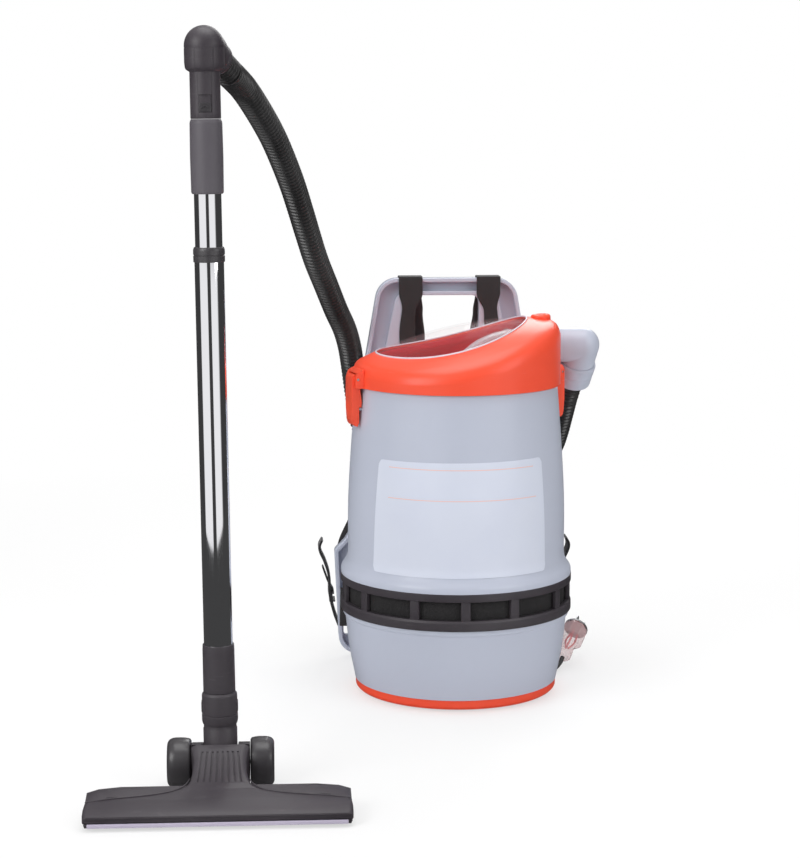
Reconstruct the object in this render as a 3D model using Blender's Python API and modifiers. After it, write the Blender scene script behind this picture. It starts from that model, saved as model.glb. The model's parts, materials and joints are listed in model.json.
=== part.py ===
"""Backpack vacuum cleaner: a drum on a harness frame, its hose, a telescopic wand and a floor tool.

Sizes are in metres.  The drum's axis is x = y = 0, its front is -y and it stands on z = 0.
"""

import math

import bmesh
import bpy
from mathutils import Matrix, Vector

SEAM = 0.0003  # gap between pieces that touch
RUNNING_GAP = 0.0008  # gap round pieces that turn
WALL = 0.003  # moulded shells
DRUM_SIDES = 36
TUBE_SIDES = 16
CASE_SIDES = 24
PIN_SIDES = 12

# Drum, from the floor up
FOOT_HEIGHT = 0.003
FOOT_RADIUS = 0.011
BASE_HEIGHT = 0.014
LOWER_HEIGHT = 0.101
LOWER_BULGE = 0.0095
LIP_STEP = 0.003
RING_RADIUS = 0.163
BASE_RADIUS = RING_RADIUS - 0.021
FOOT_CIRCLE = BASE_RADIUS - 0.024
RING_HEIGHT = 0.051
RING_WALL = 0.008
RING_RIM = 0.0105
RING_RECESS = 0.0015
BAR_ANGLES = (-154.8, -123.6, -100, -80, -56.4, -25.2, 0, 25.2, 56.4, 80, 100, 123.6, 154.8, 180)
WINDOW_HEIGHT = 0.026
BAR_WIDTH = 0.013
DRUM_HEIGHT = 0.267
DRUM_BELLY_RADIUS = RING_RADIUS - 0.0105
DRUM_TOP_RADIUS = DRUM_BELLY_RADIUS - 0.0115
SKIRT_HEIGHT = 0.030
CATCH_DEPTH = 0.003
CATCH_HEIGHT = 0.004
CATCH_WIDTH = 0.024

# Inside the drum
FLOOR_HOLE = 0.030
MOUNT_HEIGHT = 0.008
SEAL_HEIGHT = 0.008
FAN_CASE_RADIUS = 0.074
MOTOR_CASE_RADIUS = 0.056
FAN_CASE_HEIGHT = 0.040
SHAFT_RADIUS = 0.0044
FAN_RADIUS = 0.064
FAN_BLADES = 9
INTAKE_RADIUS = 0.030
GRILLE_RADIUS = 0.052
FILTER_WALL = 0.004
LEDGE_RADIUS = DRUM_TOP_RADIUS - 0.0105
LEDGE_DROP = 0.013
BAG_DEPTH = 0.215
BAG_CLOTH = 0.0025
HOOP_HEIGHT = 0.006

# Lid: its top slopes up to the right and curves down to the front and back
LID_RADIUS = DRUM_TOP_RADIUS + 0.004
LID_LIFT = 0.10
LID_CURVE = 1.16
RIM_HEIGHT, RIM_SLOPE = 0.0694, 0.229
CROWN_RADIUS, CROWN_HEIGHT, CROWN_SLOPE = LID_RADIUS - 0.015, 0.0620, 0.204
SHOULDER_RADIUS, SHOULDER_HEIGHT, SHOULDER_SLOPE = LID_RADIUS - 0.0048, 0.0558, 0.187
WALL_HEIGHT, WALL_SLOPE = 0.0440, 0.172
WINDOW_CENTRE_X = -0.0078
WINDOW_HALF_LENGTH = CROWN_RADIUS - 0.0257
WINDOW_HALF_WIDTH = CROWN_RADIUS - 0.022
WINDOW_CROWN = 0.0110
WINDOW_WALL = 0.0025
GASKET_HEIGHT = 0.004
TRAY_DEPTH = 0.006
DUCT_RADIUS = 0.0235
DUCT_WALL = 0.002
BOSS_RADIUS = 0.014
BOSS_X = CROWN_RADIUS - 0.0125
ELBOW_RADIUS = 0.0245
ELBOW_BORE = 0.0195
ELBOW_X = LID_RADIUS + 0.038
ELBOW_Y = 0.045
ELBOW_ABOVE_RIM = 0.0475
ELBOW_HEADING = Vector((-0.151, 0.545, -0.839))
CUFF_RADIUS = 0.0278
CUFF_LENGTH = 0.037

# Lid latches, on a line turned a little from the x axis
LATCH_ANGLE = math.radians(15)
LATCH_PIVOT_RADIUS = LID_RADIUS + 0.0065
LATCH_PIVOT_UP = 0.0125
LATCH_BARREL = 0.0060
LATCH_WIDTH = 0.030
LATCH_REACH = 0.066
LATCH_THICKNESS = 0.0115
PIN_RADIUS = 0.002
HOUSING_WIDTH = 0.048
HOUSING_OUT = 0.0090
HOUSING_RISE = 0.026

# Harness frame, behind the drum
FRAME_Y = RING_RADIUS + 0.003
FRAME_DEPTH = 0.022
FRAME_TOP = 0.5695
FRAME_BOTTOM = 0.006
FRAME_RIM = 0.006
CHANNEL_DEPTH = 0.013
HANDLE_HALF = 0.0475
HANDLE_LOW = 0.468
GRIP_BAR = 0.025
PLATE_HALF = 0.167
PLATE_TOP = 0.179
BACK_PAD_HALF = 0.085
BACK_PAD_LOW = 0.205
BACK_PAD_HIGH = 0.445
LUMBAR_HALF = 0.150
LUMBAR_LOW = 0.030
LUMBAR_HIGH = 0.150
PAD_DEPTH = 0.017
WEBBING = 0.0022
STRAP_X = 0.0574
STRAP_SHIFT = 0.0038
STRAP_WIDTH = 0.034

# Switch, gland and lead
SWITCH_ANGLE = math.radians(148)
SWITCH_Z = 0.070
SWITCH_WIDTH = 0.030
SWITCH_HEIGHT = 0.024
SWITCH_DEPTH = 0.018
ROCKER_WIDTH = 0.022
ROCKER_HEIGHT = 0.016
LEAD_RADIUS = 0.0032
GLAND_ANGLE = math.radians(48)
GLAND_Z = 0.078
GLAND_LENGTH = 0.026
PLUG_RADIUS = 0.0190

# Hose
HOSE_RADIUS = 0.017
HOSE_ROOT = 0.0148
HOSE_BORE = 0.0125
RIB_PITCH = 0.0132

# Wand, standing in front of the drum and to its left
WAND_X = -0.3230
WAND_Y = -0.440
WAND_LEAN = math.radians(0.6)
SWIVEL_Z = 0.080
SWIVEL_LENGTH = 0.039
SWIVEL_RADIUS = 0.02175
NECK_LENGTH = 0.0585
NECK_RADIUS = 0.01935
SPIGOT_RADIUS = 0.0165
SPIGOT_LENGTH = 0.020
LOWER_TUBE_RADIUS = 0.0173
LOWER_TUBE_LENGTH = 0.4895
TUBE_WALL = 0.001
SOCKET_DEPTH = 0.026
COLLAR_RADIUS = 0.0185
COLLAR_LENGTH = 0.0175
COLLAR_TRAVEL = 0.006
UPPER_TUBE_SHOWN = 0.0617
UPPER_TUBE_LENGTH = 0.560
GRIP_LENGTH = 0.0865
GRIP_RADIUS = 0.0190
HANDLE_RADIUS = 0.0178
HANDLE_LENGTH = 0.0545
SLIDER_WIDTH = 0.014
SLIDER_HEIGHT = 0.011
SLIDER_TRAVEL = 0.009
SKIRT_RADIUS = 0.0235
SKIRT_LENGTH = 0.0290
OUTLET_HEADING = Vector((0.330, 0.870, -0.360))
OUTLET_RADIUS = 0.0200
OUTLET_REACH = 0.0325
HOSE_CUFF_RADIUS = 0.0202
HOSE_CUFF_LENGTH = 0.011

# Floor tool
WHEEL_RADIUS = 0.0303
WHEEL_WIDTH = 0.029
CHEEK_HALF = 0.035
SLOT_HALF = 0.0213
BARREL_RADIUS = 0.0195
YOKE_TUBE_RADIUS = 0.0205
AXLE_RADIUS = 0.003
TOOL_HALF = 0.155
TOOL_REACH = 0.157
DECK_BACK = 0.088
COVER_BOTTOM = 0.0088
SOLE_BOTTOM = 0.0035
SUCTION_HALF = 0.130
BRUSH_WIDTH = 0.005
BUMPER_DEPTH = 0.0035

# Levels and radii that follow
LOWER_Z = FOOT_HEIGHT + BASE_HEIGHT
RING_Z = LOWER_Z + LOWER_HEIGHT
DRUM_Z = RING_Z + RING_HEIGHT
LID_Z = DRUM_Z + DRUM_HEIGHT
LIP_RADIUS = RING_RADIUS - LIP_STEP
ELBOW_Z = LID_Z + ELBOW_ABOVE_RIM
ELBOW_DOWN = ELBOW_HEADING.normalized()
ELBOW_CORNER = Vector((ELBOW_X, ELBOW_Y, ELBOW_Z))
CUFF_START = ELBOW_CORNER + ELBOW_DOWN * (ELBOW_RADIUS + 0.004)
CUFF_MOUTH = CUFF_START + ELBOW_DOWN * CUFF_LENGTH
LATCH_PIVOT_Z = LID_Z + LATCH_PIVOT_UP
FRAME_BACK = FRAME_Y + FRAME_DEPTH
NECK_Z = SWIVEL_Z + SWIVEL_LENGTH
LOWER_TUBE_Z = NECK_Z + NECK_LENGTH - SOCKET_DEPTH
LOWER_TUBE_TOP = LOWER_TUBE_Z + LOWER_TUBE_LENGTH
COLLAR_TOP = LOWER_TUBE_TOP + COLLAR_TRAVEL + 0.007
GRIP_Z = COLLAR_TOP + UPPER_TUBE_SHOWN
HANDLE_Z = GRIP_Z + GRIP_LENGTH
SKIRT_Z = HANDLE_Z + HANDLE_LENGTH
DOME_Z = SKIRT_Z + SKIRT_LENGTH
OUTLET_WAY = OUTLET_HEADING.normalized()
UPPER_TUBE_RADIUS = LOWER_TUBE_RADIUS - TUBE_WALL - SEAM
TOOL_FRONT = WAND_Y - TOOL_REACH
TOOL_BACK = WAND_Y - DECK_BACK
WHEEL_X = CHEEK_HALF + RUNNING_GAP

for old in list(bpy.data.objects):
    bpy.data.objects.remove(old, do_unlink=True)
model = bpy.data.collections.new("backpack_vacuum")
cutters = bpy.data.collections.new("cutters")
bpy.context.scene.collection.children.link(model)
bpy.context.scene.collection.children.link(cutters)


# ---------------------------------------------------------------- materials


def finish(name, colour, roughness, metallic=0.0, alpha=1.0):
    made = bpy.data.materials.new(name)
    made.use_nodes = True
    shader = made.node_tree.nodes["Principled BSDF"]
    shader.inputs["Base Color"].default_value = (*colour, 1.0)
    shader.inputs["Roughness"].default_value = roughness
    shader.inputs["Metallic"].default_value = metallic
    shader.inputs["Alpha"].default_value = alpha
    made.diffuse_color = (*colour, alpha)
    return made


GREY = finish("grey_plastic", (0.53, 0.57, 0.68), 0.42)
ORANGE = finish("orange_plastic", (1.0, 0.10, 0.035), 0.32)
BLACK = finish("black_plastic", (0.05, 0.045, 0.05), 0.5)
GLOSS = finish("gloss_black", (0.02, 0.018, 0.022), 0.18)
GRIP = finish("textured_grip", (0.06, 0.055, 0.065), 0.7)
HOSE = finish("hose_plastic", (0.02, 0.018, 0.02), 0.3)
CLOTH = finish("black_webbing", (0.012, 0.012, 0.014), 0.9)
CHROME = finish("chromed_tube", (0.8, 0.8, 0.82), 0.08, 1.0)
STEEL = finish("steel", (0.55, 0.56, 0.58), 0.3, 1.0)
COPPER = finish("copper_winding", (0.72, 0.32, 0.16), 0.4, 1.0)
CLEAR = finish("clear_plastic", (0.85, 0.88, 0.9), 0.08, alpha=0.3)
ROSE = finish("clear_plug", (0.78, 0.62, 0.62), 0.15, alpha=0.6)
RED = finish("red_liner", (0.6, 0.01, 0.02), 0.35)
BAG = finish("filter_cloth", (0.75, 0.73, 0.68), 0.95)
FOAM = finish("filter_foam", (0.03, 0.03, 0.035), 1.0)
RUBBER = finish("rubber", (0.03, 0.03, 0.03), 0.8)
BRISTLE = finish("bristle", (0.05, 0.05, 0.055), 0.9)
PALE = finish("bumper", (0.55, 0.5, 0.62), 0.6)


# ---------------------------------------------------------------- modelling helpers


def piece(obj, material, parent=None):
    """Puts a finished sub-part in the model's collection with its material."""
    model.objects.link(obj)
    if obj.data.materials:
        obj.data.materials.clear()
    obj.data.materials.append(material)
    if parent:
        obj.parent = parent
    return obj


def guide(obj, parent=None):
    """Puts a cutter, or a shape that is joined to a piece, out of sight."""
    cutters.objects.link(obj)
    obj.hide_render = True
    obj.display_type = "WIRE"
    if parent:
        obj.parent = parent
    return obj


def empty(name, place, rotation=None, parent=None):
    pivot = bpy.data.objects.new(name, None)
    model.objects.link(pivot)
    pivot.location = place
    if rotation:
        pivot.rotation_euler = rotation
    if parent:
        pivot.parent = parent
    return pivot


def combine(obj, others, operation):
    for other in others:
        if not other.users_collection:
            guide(other)
        step = obj.modifiers.new(operation.title(), "BOOLEAN")
        step.object = other
        step.operation = operation
        step.solver = "EXACT"
    return obj


def cut(obj, *others):
    return combine(obj, others, "DIFFERENCE")


def join(obj, *others):
    return combine(obj, others, "UNION")


def turned(name, profile, sides=DRUM_SIDES, place=(0, 0, 0), rotation=None):
    """Spins (radius, height) points round z.  A profile that ends on the axis is solid there."""
    solid = profile[0][0] == 0 and profile[-1][0] == 0
    points = [(radius, 0.0, height) for radius, height in profile]
    edges = [(i, i + 1) for i in range(len(points) - 1)]
    if not solid:
        edges.append((len(points) - 1, 0))
    mesh = bpy.data.meshes.new(name)
    mesh.from_pydata(points, edges, [])
    obj = bpy.data.objects.new(name, mesh)
    screw = obj.modifiers.new("Turn", "SCREW")
    screw.steps = sides
    screw.render_steps = sides
    screw.use_merge_vertices = True
    screw.merge_threshold = 0.0001
    obj.location = place
    if rotation:
        obj.rotation_euler = rotation
    return obj


def from_bmesh(name, shape, angle=40):
    mesh = bpy.data.meshes.new(name)
    bmesh.ops.recalc_face_normals(shape, faces=shape.faces)
    shape.to_mesh(mesh)
    shape.free()
    mesh.shade_smooth()
    mesh.set_sharp_from_angle(angle=math.radians(angle))
    return bpy.data.objects.new(name, mesh)


def block(name, size, place=(0, 0, 0), bevel=0.0):
    shape = bmesh.new()
    bmesh.ops.create_cube(shape, size=1.0, matrix=Matrix.Diagonal((*size, 1.0)))
    if bevel:
        bmesh.ops.bevel(shape, geom=shape.edges[:], offset=bevel, segments=1,
                        affect="EDGES", profile=0.5)
    obj = from_bmesh(name, shape)
    obj.location = place
    return obj


def rod(name, start, end, radius, end_radius=None, sides=TUBE_SIDES):
    start, end = Vector(start), Vector(end)
    turn = (end - start).to_track_quat("Z", "Y").to_matrix().to_4x4()
    shape = bmesh.new()
    bmesh.ops.create_cone(shape, cap_ends=True, segments=sides, radius1=radius,
                          radius2=radius if end_radius is None else end_radius,
                          depth=(end - start).length,
                          matrix=Matrix.Translation((start + end) / 2) @ turn)
    return from_bmesh(name, shape)


def ball(name, place, radius, sides=TUBE_SIDES):
    shape = bmesh.new()
    bmesh.ops.create_uvsphere(shape, u_segments=sides, v_segments=sides // 2, radius=radius,
                              matrix=Matrix.Translation(place))
    return from_bmesh(name, shape)


def as_mesh(curve_obj, angle=40):
    """Makes a curve object a mesh whose caps are welded, in the same place."""
    model.objects.link(curve_obj)
    bpy.context.view_layer.update()
    depsgraph = bpy.context.evaluated_depsgraph_get()
    mesh = bpy.data.meshes.new_from_object(curve_obj.evaluated_get(depsgraph))
    shape = bmesh.new()
    shape.from_mesh(mesh)
    bmesh.ops.remove_doubles(shape, verts=shape.verts, dist=0.00001)
    obj = from_bmesh(curve_obj.name, shape, angle)
    obj.matrix_world = curve_obj.matrix_world.copy()
    name = curve_obj.name
    bpy.data.objects.remove(curve_obj, do_unlink=True)
    bpy.data.meshes.remove(mesh)
    obj.name = name
    return obj


def flat(name, outlines, thickness, place=(0, 0, 0), rotation=(0, 0, 0)):
    """A plate from one outline, or from an outline and its holes, thick along local z."""
    curve = bpy.data.curves.new(name, "CURVE")
    curve.dimensions = "2D"
    curve.fill_mode = "BOTH"
    curve.extrude = thickness / 2
    for outline in outlines:
        spline = curve.splines.new("POLY")
        spline.points.add(len(outline) - 1)
        for point, (u, v) in zip(spline.points, outline):
            point.co = (u, v, 0.0, 1.0)
        spline.use_cyclic_u = True
    obj = bpy.data.objects.new(name, curve)
    obj.location = place
    obj.rotation_euler = rotation
    return as_mesh(obj)


def tube(name, points, radius, resolution=2, radii=None):
    curve = bpy.data.curves.new(name, "CURVE")
    curve.dimensions = "3D"
    curve.bevel_depth = radius
    curve.bevel_resolution = resolution
    curve.use_fill_caps = True
    spline = curve.splines.new("POLY")
    spline.points.add(len(points) - 1)
    for i, place in enumerate(points):
        spline.points[i].co = (*place, 1.0)
        spline.points[i].radius = radii[i] if radii else 1.0
    return bpy.data.objects.new(name, curve)


def loft(name, rings, angle=40):
    """Joins rings of equally many points, each round the same way, and caps both ends."""
    shape = bmesh.new()
    loops = [[shape.verts.new(point) for point in ring] for ring in rings]
    count = len(loops[0])
    for low, high in zip(loops, loops[1:]):
        for i in range(count):
            j = (i + 1) % count
            shape.faces.new((low[i], low[j], high[j], high[i]))
    shape.faces.new(loops[0][::-1])
    shape.faces.new(loops[-1])
    return from_bmesh(name, shape, angle)


def rounded(corners, steps=3):
    """Turns (u, v, radius) corners, anticlockwise, into an outline with round corners."""
    outline = []
    for i, (u, v, radius) in enumerate(corners):
        here = Vector((u, v))
        back = (Vector(corners[i - 1][:2]) - here).normalized()
        ahead = (Vector(corners[(i + 1) % len(corners)][:2]) - here).normalized()
        half = back.angle(ahead) / 2
        if radius <= 0 or half > math.radians(88):
            outline.append((u, v))
            continue
        centre = here + (back + ahead).normalized() * (radius / math.sin(half))
        start = here + back * (radius / math.tan(half)) - centre
        turn = math.pi - 2 * half
        if start.x * ahead.y - start.y * ahead.x < 0:
            turn = -turn
        for step in range(steps + 1):
            angle = turn * step / steps
            across = Vector((start.x * math.cos(angle) - start.y * math.sin(angle),
                             start.x * math.sin(angle) + start.y * math.cos(angle)))
            outline.append(tuple(centre + across))
    return outline


def mirrored(half):
    """An outline's right half, from bottom to top, with its mirror image on the left."""
    return half + [(-u, v, radius) for u, v, radius in reversed(half)]


def inset(corners, distance):
    """Moves an anticlockwise outline's sides inwards by a distance."""
    moved = []
    for i, (u, v, radius) in enumerate(corners):
        here = Vector((u, v))
        before = (here - Vector(corners[i - 1][:2])).normalized()
        after = (Vector(corners[(i + 1) % len(corners)][:2]) - here).normalized()
        normals = [Vector((-side.y, side.x)) for side in (before, after)]
        middle = (normals[0] + normals[1]).normalized()
        step = distance / max(middle.dot(normals[0]), 0.2)
        moved.append((u + middle.x * step, v + middle.y * step, max(radius - distance, 0.001)))
    return moved


def smooth_route(points, spacing):
    """Even points along a smooth curve through a route's own points."""
    route = [Vector(p) for p in points]
    route = [2 * route[0] - route[1]] + route + [2 * route[-1] - route[-2]]
    dense = []
    for a, b, c, d in zip(route, route[1:], route[2:], route[3:]):
        for step in range(24):
            t = step / 24
            dense.append(0.5 * ((2 * b) + (c - a) * t + (2 * a - 5 * b + 4 * c - d) * t ** 2
                                + (3 * b - a - 3 * c + d) * t ** 3))
    dense.append(route[-2])
    lengths = [0.0]
    for a, b in zip(dense, dense[1:]):
        lengths.append(lengths[-1] + (b - a).length)
    count = max(2, round(lengths[-1] / spacing))
    even, k = [], 0
    for i in range(count + 1):
        want = lengths[-1] * i / count
        while k < len(dense) - 2 and lengths[k + 1] < want:
            k += 1
        share = (want - lengths[k]) / max(lengths[k + 1] - lengths[k], 1e-9)
        even.append(dense[k].lerp(dense[k + 1], min(share, 1.0)))
    return even, lengths[-1]


def ribbon(name, stations, material, parent=None):
    """Webbing or a pad along (centre, width, thickness, width direction) stations."""
    rings = []
    for i, (centre, width, thickness, across) in enumerate(stations):
        centre, across = Vector(centre), Vector(across).normalized()
        before = Vector(stations[max(i - 1, 0)][0])
        after = Vector(stations[min(i + 1, len(stations) - 1)][0])
        along = (after - before).normalized()
        across = (across - along * across.dot(along)).normalized()
        up = along.cross(across)
        edge = min(thickness * 0.5, 0.004)
        rings.append([centre + across * u + up * v for u, v in (
            (width / 2, 0), (width / 2 - edge, thickness / 2), (-width / 2 + edge, thickness / 2),
            (-width / 2, 0), (-width / 2 + edge, -thickness / 2),
            (width / 2 - edge, -thickness / 2))])
    return piece(loft(name, rings), material, parent)


def cushion(name, half, low, high, depth, channels, place_y):
    """A pad with a crowned face towards +y, drawn-in sides and sewn channels across it."""
    across, up = 8, 12
    shape = bmesh.new()
    face = [[None] * (across + 1) for _ in range(up + 1)]
    back = [[None] * (across + 1) for _ in range(up + 1)]
    for row in range(up + 1):
        v = row / up
        seam = min(abs(v - (k + 1) / (channels + 1)) for k in range(channels)) * up
        dip = 0.35 * max(0.0, 1.0 - seam)
        for col in range(across + 1):
            u = 2 * col / across - 1
            waist = 1.0 - 0.045 * math.sin(math.pi * v) * abs(u)
            crown = (1 - u ** 4) ** 0.5 * (1 - (2 * v - 1) ** 6) ** 0.5
            x, z = u * half * waist, low + (high - low) * v
            face[row][col] = shape.verts.new((x, place_y + depth * (0.35 + 0.65 * crown)
                                              * (1 - dip), z))
            back[row][col] = shape.verts.new((x, place_y, z))
    for row in range(up):
        for col in range(across):
            a, b = (row, col), (row, col + 1)
            c, d = (row + 1, col + 1), (row + 1, col)
            for grid in (face, back):
                shape.faces.new([grid[i][j] for i, j in (a, b, c, d)])
    rim = ([(0, j) for j in range(across)] + [(i, across) for i in range(up)]
           + [(up, j) for j in range(across, 0, -1)] + [(i, 0) for i in range(up, 0, -1)])
    for (i, j), (k, m) in zip(rim, rim[1:] + rim[:1]):
        shape.faces.new((face[i][j], face[k][m], back[k][m], back[i][j]))
    return piece(from_bmesh(name, shape, 60), CLOTH)


def polar(radius, angle, height):
    return Vector((radius * math.cos(angle), radius * math.sin(angle), height))


# ---------------------------------------------------------------- drum


def drum_side():
    """The drum's outer side from its rim down to its skirt."""
    return [
        (DRUM_TOP_RADIUS, LID_Z - SEAM),
        (DRUM_BELLY_RADIUS - 0.0041, LID_Z - DRUM_HEIGHT * 0.36),
        (DRUM_BELLY_RADIUS - 0.0004, LID_Z - DRUM_HEIGHT * 0.62),
        (DRUM_BELLY_RADIUS, DRUM_Z + SKIRT_HEIGHT),
        (DRUM_BELLY_RADIUS + 0.0015, DRUM_Z + SKIRT_HEIGHT * 0.72),
        (DRUM_BELLY_RADIUS + 0.0050, DRUM_Z + SKIRT_HEIGHT * 0.48),
        (RING_RADIUS - 0.0020, DRUM_Z + SKIRT_HEIGHT * 0.32),
        (RING_RADIUS - 0.0005, DRUM_Z + SKIRT_HEIGHT * 0.20),
        (RING_RADIUS - 0.0005, DRUM_Z),
    ]


def radius_at(side, height):
    for (r_high, high), (r_low, low) in zip(side, side[1:]):
        if low <= height <= high:
            return r_low + (r_high - r_low) * (height - low) / (high - low)
    return side[0][0] if height > side[0][1] else side[-1][0]


def lower_side():
    """The lower shell's outer side from its lip down to the base."""
    return [
        (LIP_RADIUS, RING_Z - SEAM),
        (LIP_RADIUS, RING_Z - 0.006),
        (LIP_RADIUS - 0.0035, RING_Z - 0.009),
        (BASE_RADIUS + LOWER_BULGE, LOWER_Z + LOWER_HEIGHT * 0.45),
        (BASE_RADIUS + 0.0008, LOWER_Z),
    ]


def make_base():
    pan = turned("base_pan", [
        (0, FOOT_HEIGHT + WALL),
        (BASE_RADIUS - WALL, FOOT_HEIGHT + WALL),
        (BASE_RADIUS - WALL, LOWER_Z - SEAM),
        (BASE_RADIUS, LOWER_Z - SEAM),
        (BASE_RADIUS, FOOT_HEIGHT + 0.004),
        (BASE_RADIUS - 0.004, FOOT_HEIGHT),
        (0, FOOT_HEIGHT),
    ])
    for quarter in range(4):
        spot = polar(FOOT_CIRCLE, math.radians(45 + 90 * quarter), 0)
        join(pan, rod(f"foot_{quarter}", spot, spot + Vector((0, 0, FOOT_HEIGHT + 0.001)),
                      FOOT_RADIUS, sides=PIN_SIDES))
    piece(pan, ORANGE)


def make_lower_shell():
    side = lower_side()
    inner = [(radius - WALL, height) for radius, height in reversed(side[:-1])]
    shell = turned("lower_shell", side + [
        (FLOOR_HOLE, LOWER_Z),
        (FLOOR_HOLE, LOWER_Z + WALL),
        (BASE_RADIUS - WALL, LOWER_Z + WALL),
    ] + inner)
    radius = radius_at(side, SWITCH_Z)
    hole = block("switch_hole", (0.03, SWITCH_WIDTH - 0.004 + 2 * SEAM,
                                 SWITCH_HEIGHT - 0.004 + 2 * SEAM),
                 polar(radius, SWITCH_ANGLE, SWITCH_Z))
    hole.rotation_euler = (0, 0, SWITCH_ANGLE)
    centre = polar(radius_at(side, GLAND_Z), GLAND_ANGLE, GLAND_Z)
    lead_hole = rod("lead_hole", centre - gland_heading() * 0.02, centre + gland_heading() * 0.02,
                    LEAD_RADIUS + 0.002 + SEAM, sides=PIN_SIDES)
    piece(cut(shell, hole, lead_hole), GREY)


def make_exhaust_ring():
    inner = RING_RADIUS - RING_WALL
    ring = turned("exhaust_ring", [
        (RING_RADIUS, DRUM_Z - SEAM),
        (RING_RADIUS, DRUM_Z - RING_RIM),
        (RING_RADIUS - RING_RECESS, DRUM_Z - RING_RIM - 0.001),
        (RING_RADIUS - RING_RECESS, RING_Z + RING_RIM + 0.001),
        (RING_RADIUS, RING_Z + RING_RIM),
        (RING_RADIUS, RING_Z),
        (inner, RING_Z),
        (inner, DRUM_Z - SEAM),
    ])
    shape = bmesh.new()
    for first, last in zip(BAR_ANGLES, BAR_ANGLES[1:] + (BAR_ANGLES[0] + 360,)):
        turn = Matrix.Rotation(math.radians((first + last) / 2 - 90), 4, "Z")
        width = 2 * RING_RADIUS * math.sin(math.radians(last - first) / 2) - BAR_WIDTH
        size = Matrix.Diagonal((0.034, width, WINDOW_HEIGHT, 1.0))
        middle = Matrix.Translation((RING_RADIUS - RING_WALL / 2, 0,
                                     RING_Z + RING_HEIGHT / 2 + 0.0015))
        bmesh.ops.create_cube(shape, size=1.0, matrix=turn @ middle @ size)
    piece(cut(ring, from_bmesh("ring_windows", shape)), BLACK)
    outer = inner - SEAM
    piece(turned("exhaust_filter", [
        (outer, DRUM_Z - SEAM),
        (outer, RING_Z),
        (outer - FILTER_WALL, RING_Z),
        (outer - FILTER_WALL, DRUM_Z - SEAM),
    ]), FOAM)


def make_drum_shell():
    side = drum_side()
    ledge_z = LID_Z - LEDGE_DROP
    inner = [(radius - WALL, height) for radius, height in reversed(side[1:4])] + [
        (LEDGE_RADIUS + 0.0025, ledge_z - 0.012),
        (LEDGE_RADIUS, ledge_z),
        (DRUM_TOP_RADIUS - WALL, ledge_z),
        (DRUM_TOP_RADIUS - WALL, LID_Z - SEAM),
    ]
    shell = turned("drum_shell", side + [
        (INTAKE_RADIUS + 0.006, DRUM_Z),
        (INTAKE_RADIUS + 0.006, DRUM_Z + WALL),
        (DRUM_BELLY_RADIUS - WALL, DRUM_Z + WALL),
    ] + inner)
    depth = 2 * CATCH_DEPTH + WALL
    for way in (1, -1):
        reach = radius_at(side, catch_height()) + CATCH_DEPTH - depth / 2
        catch = block(f"catch_{way}", (depth, CATCH_WIDTH, CATCH_HEIGHT),
                      polar(way * reach, LATCH_ANGLE, catch_height()))
        catch.rotation_euler = (0, 0, LATCH_ANGLE)
        join(shell, catch)
    piece(shell, GREY)


def catch_height():
    return LATCH_PIVOT_Z - LATCH_REACH * 0.64


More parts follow.
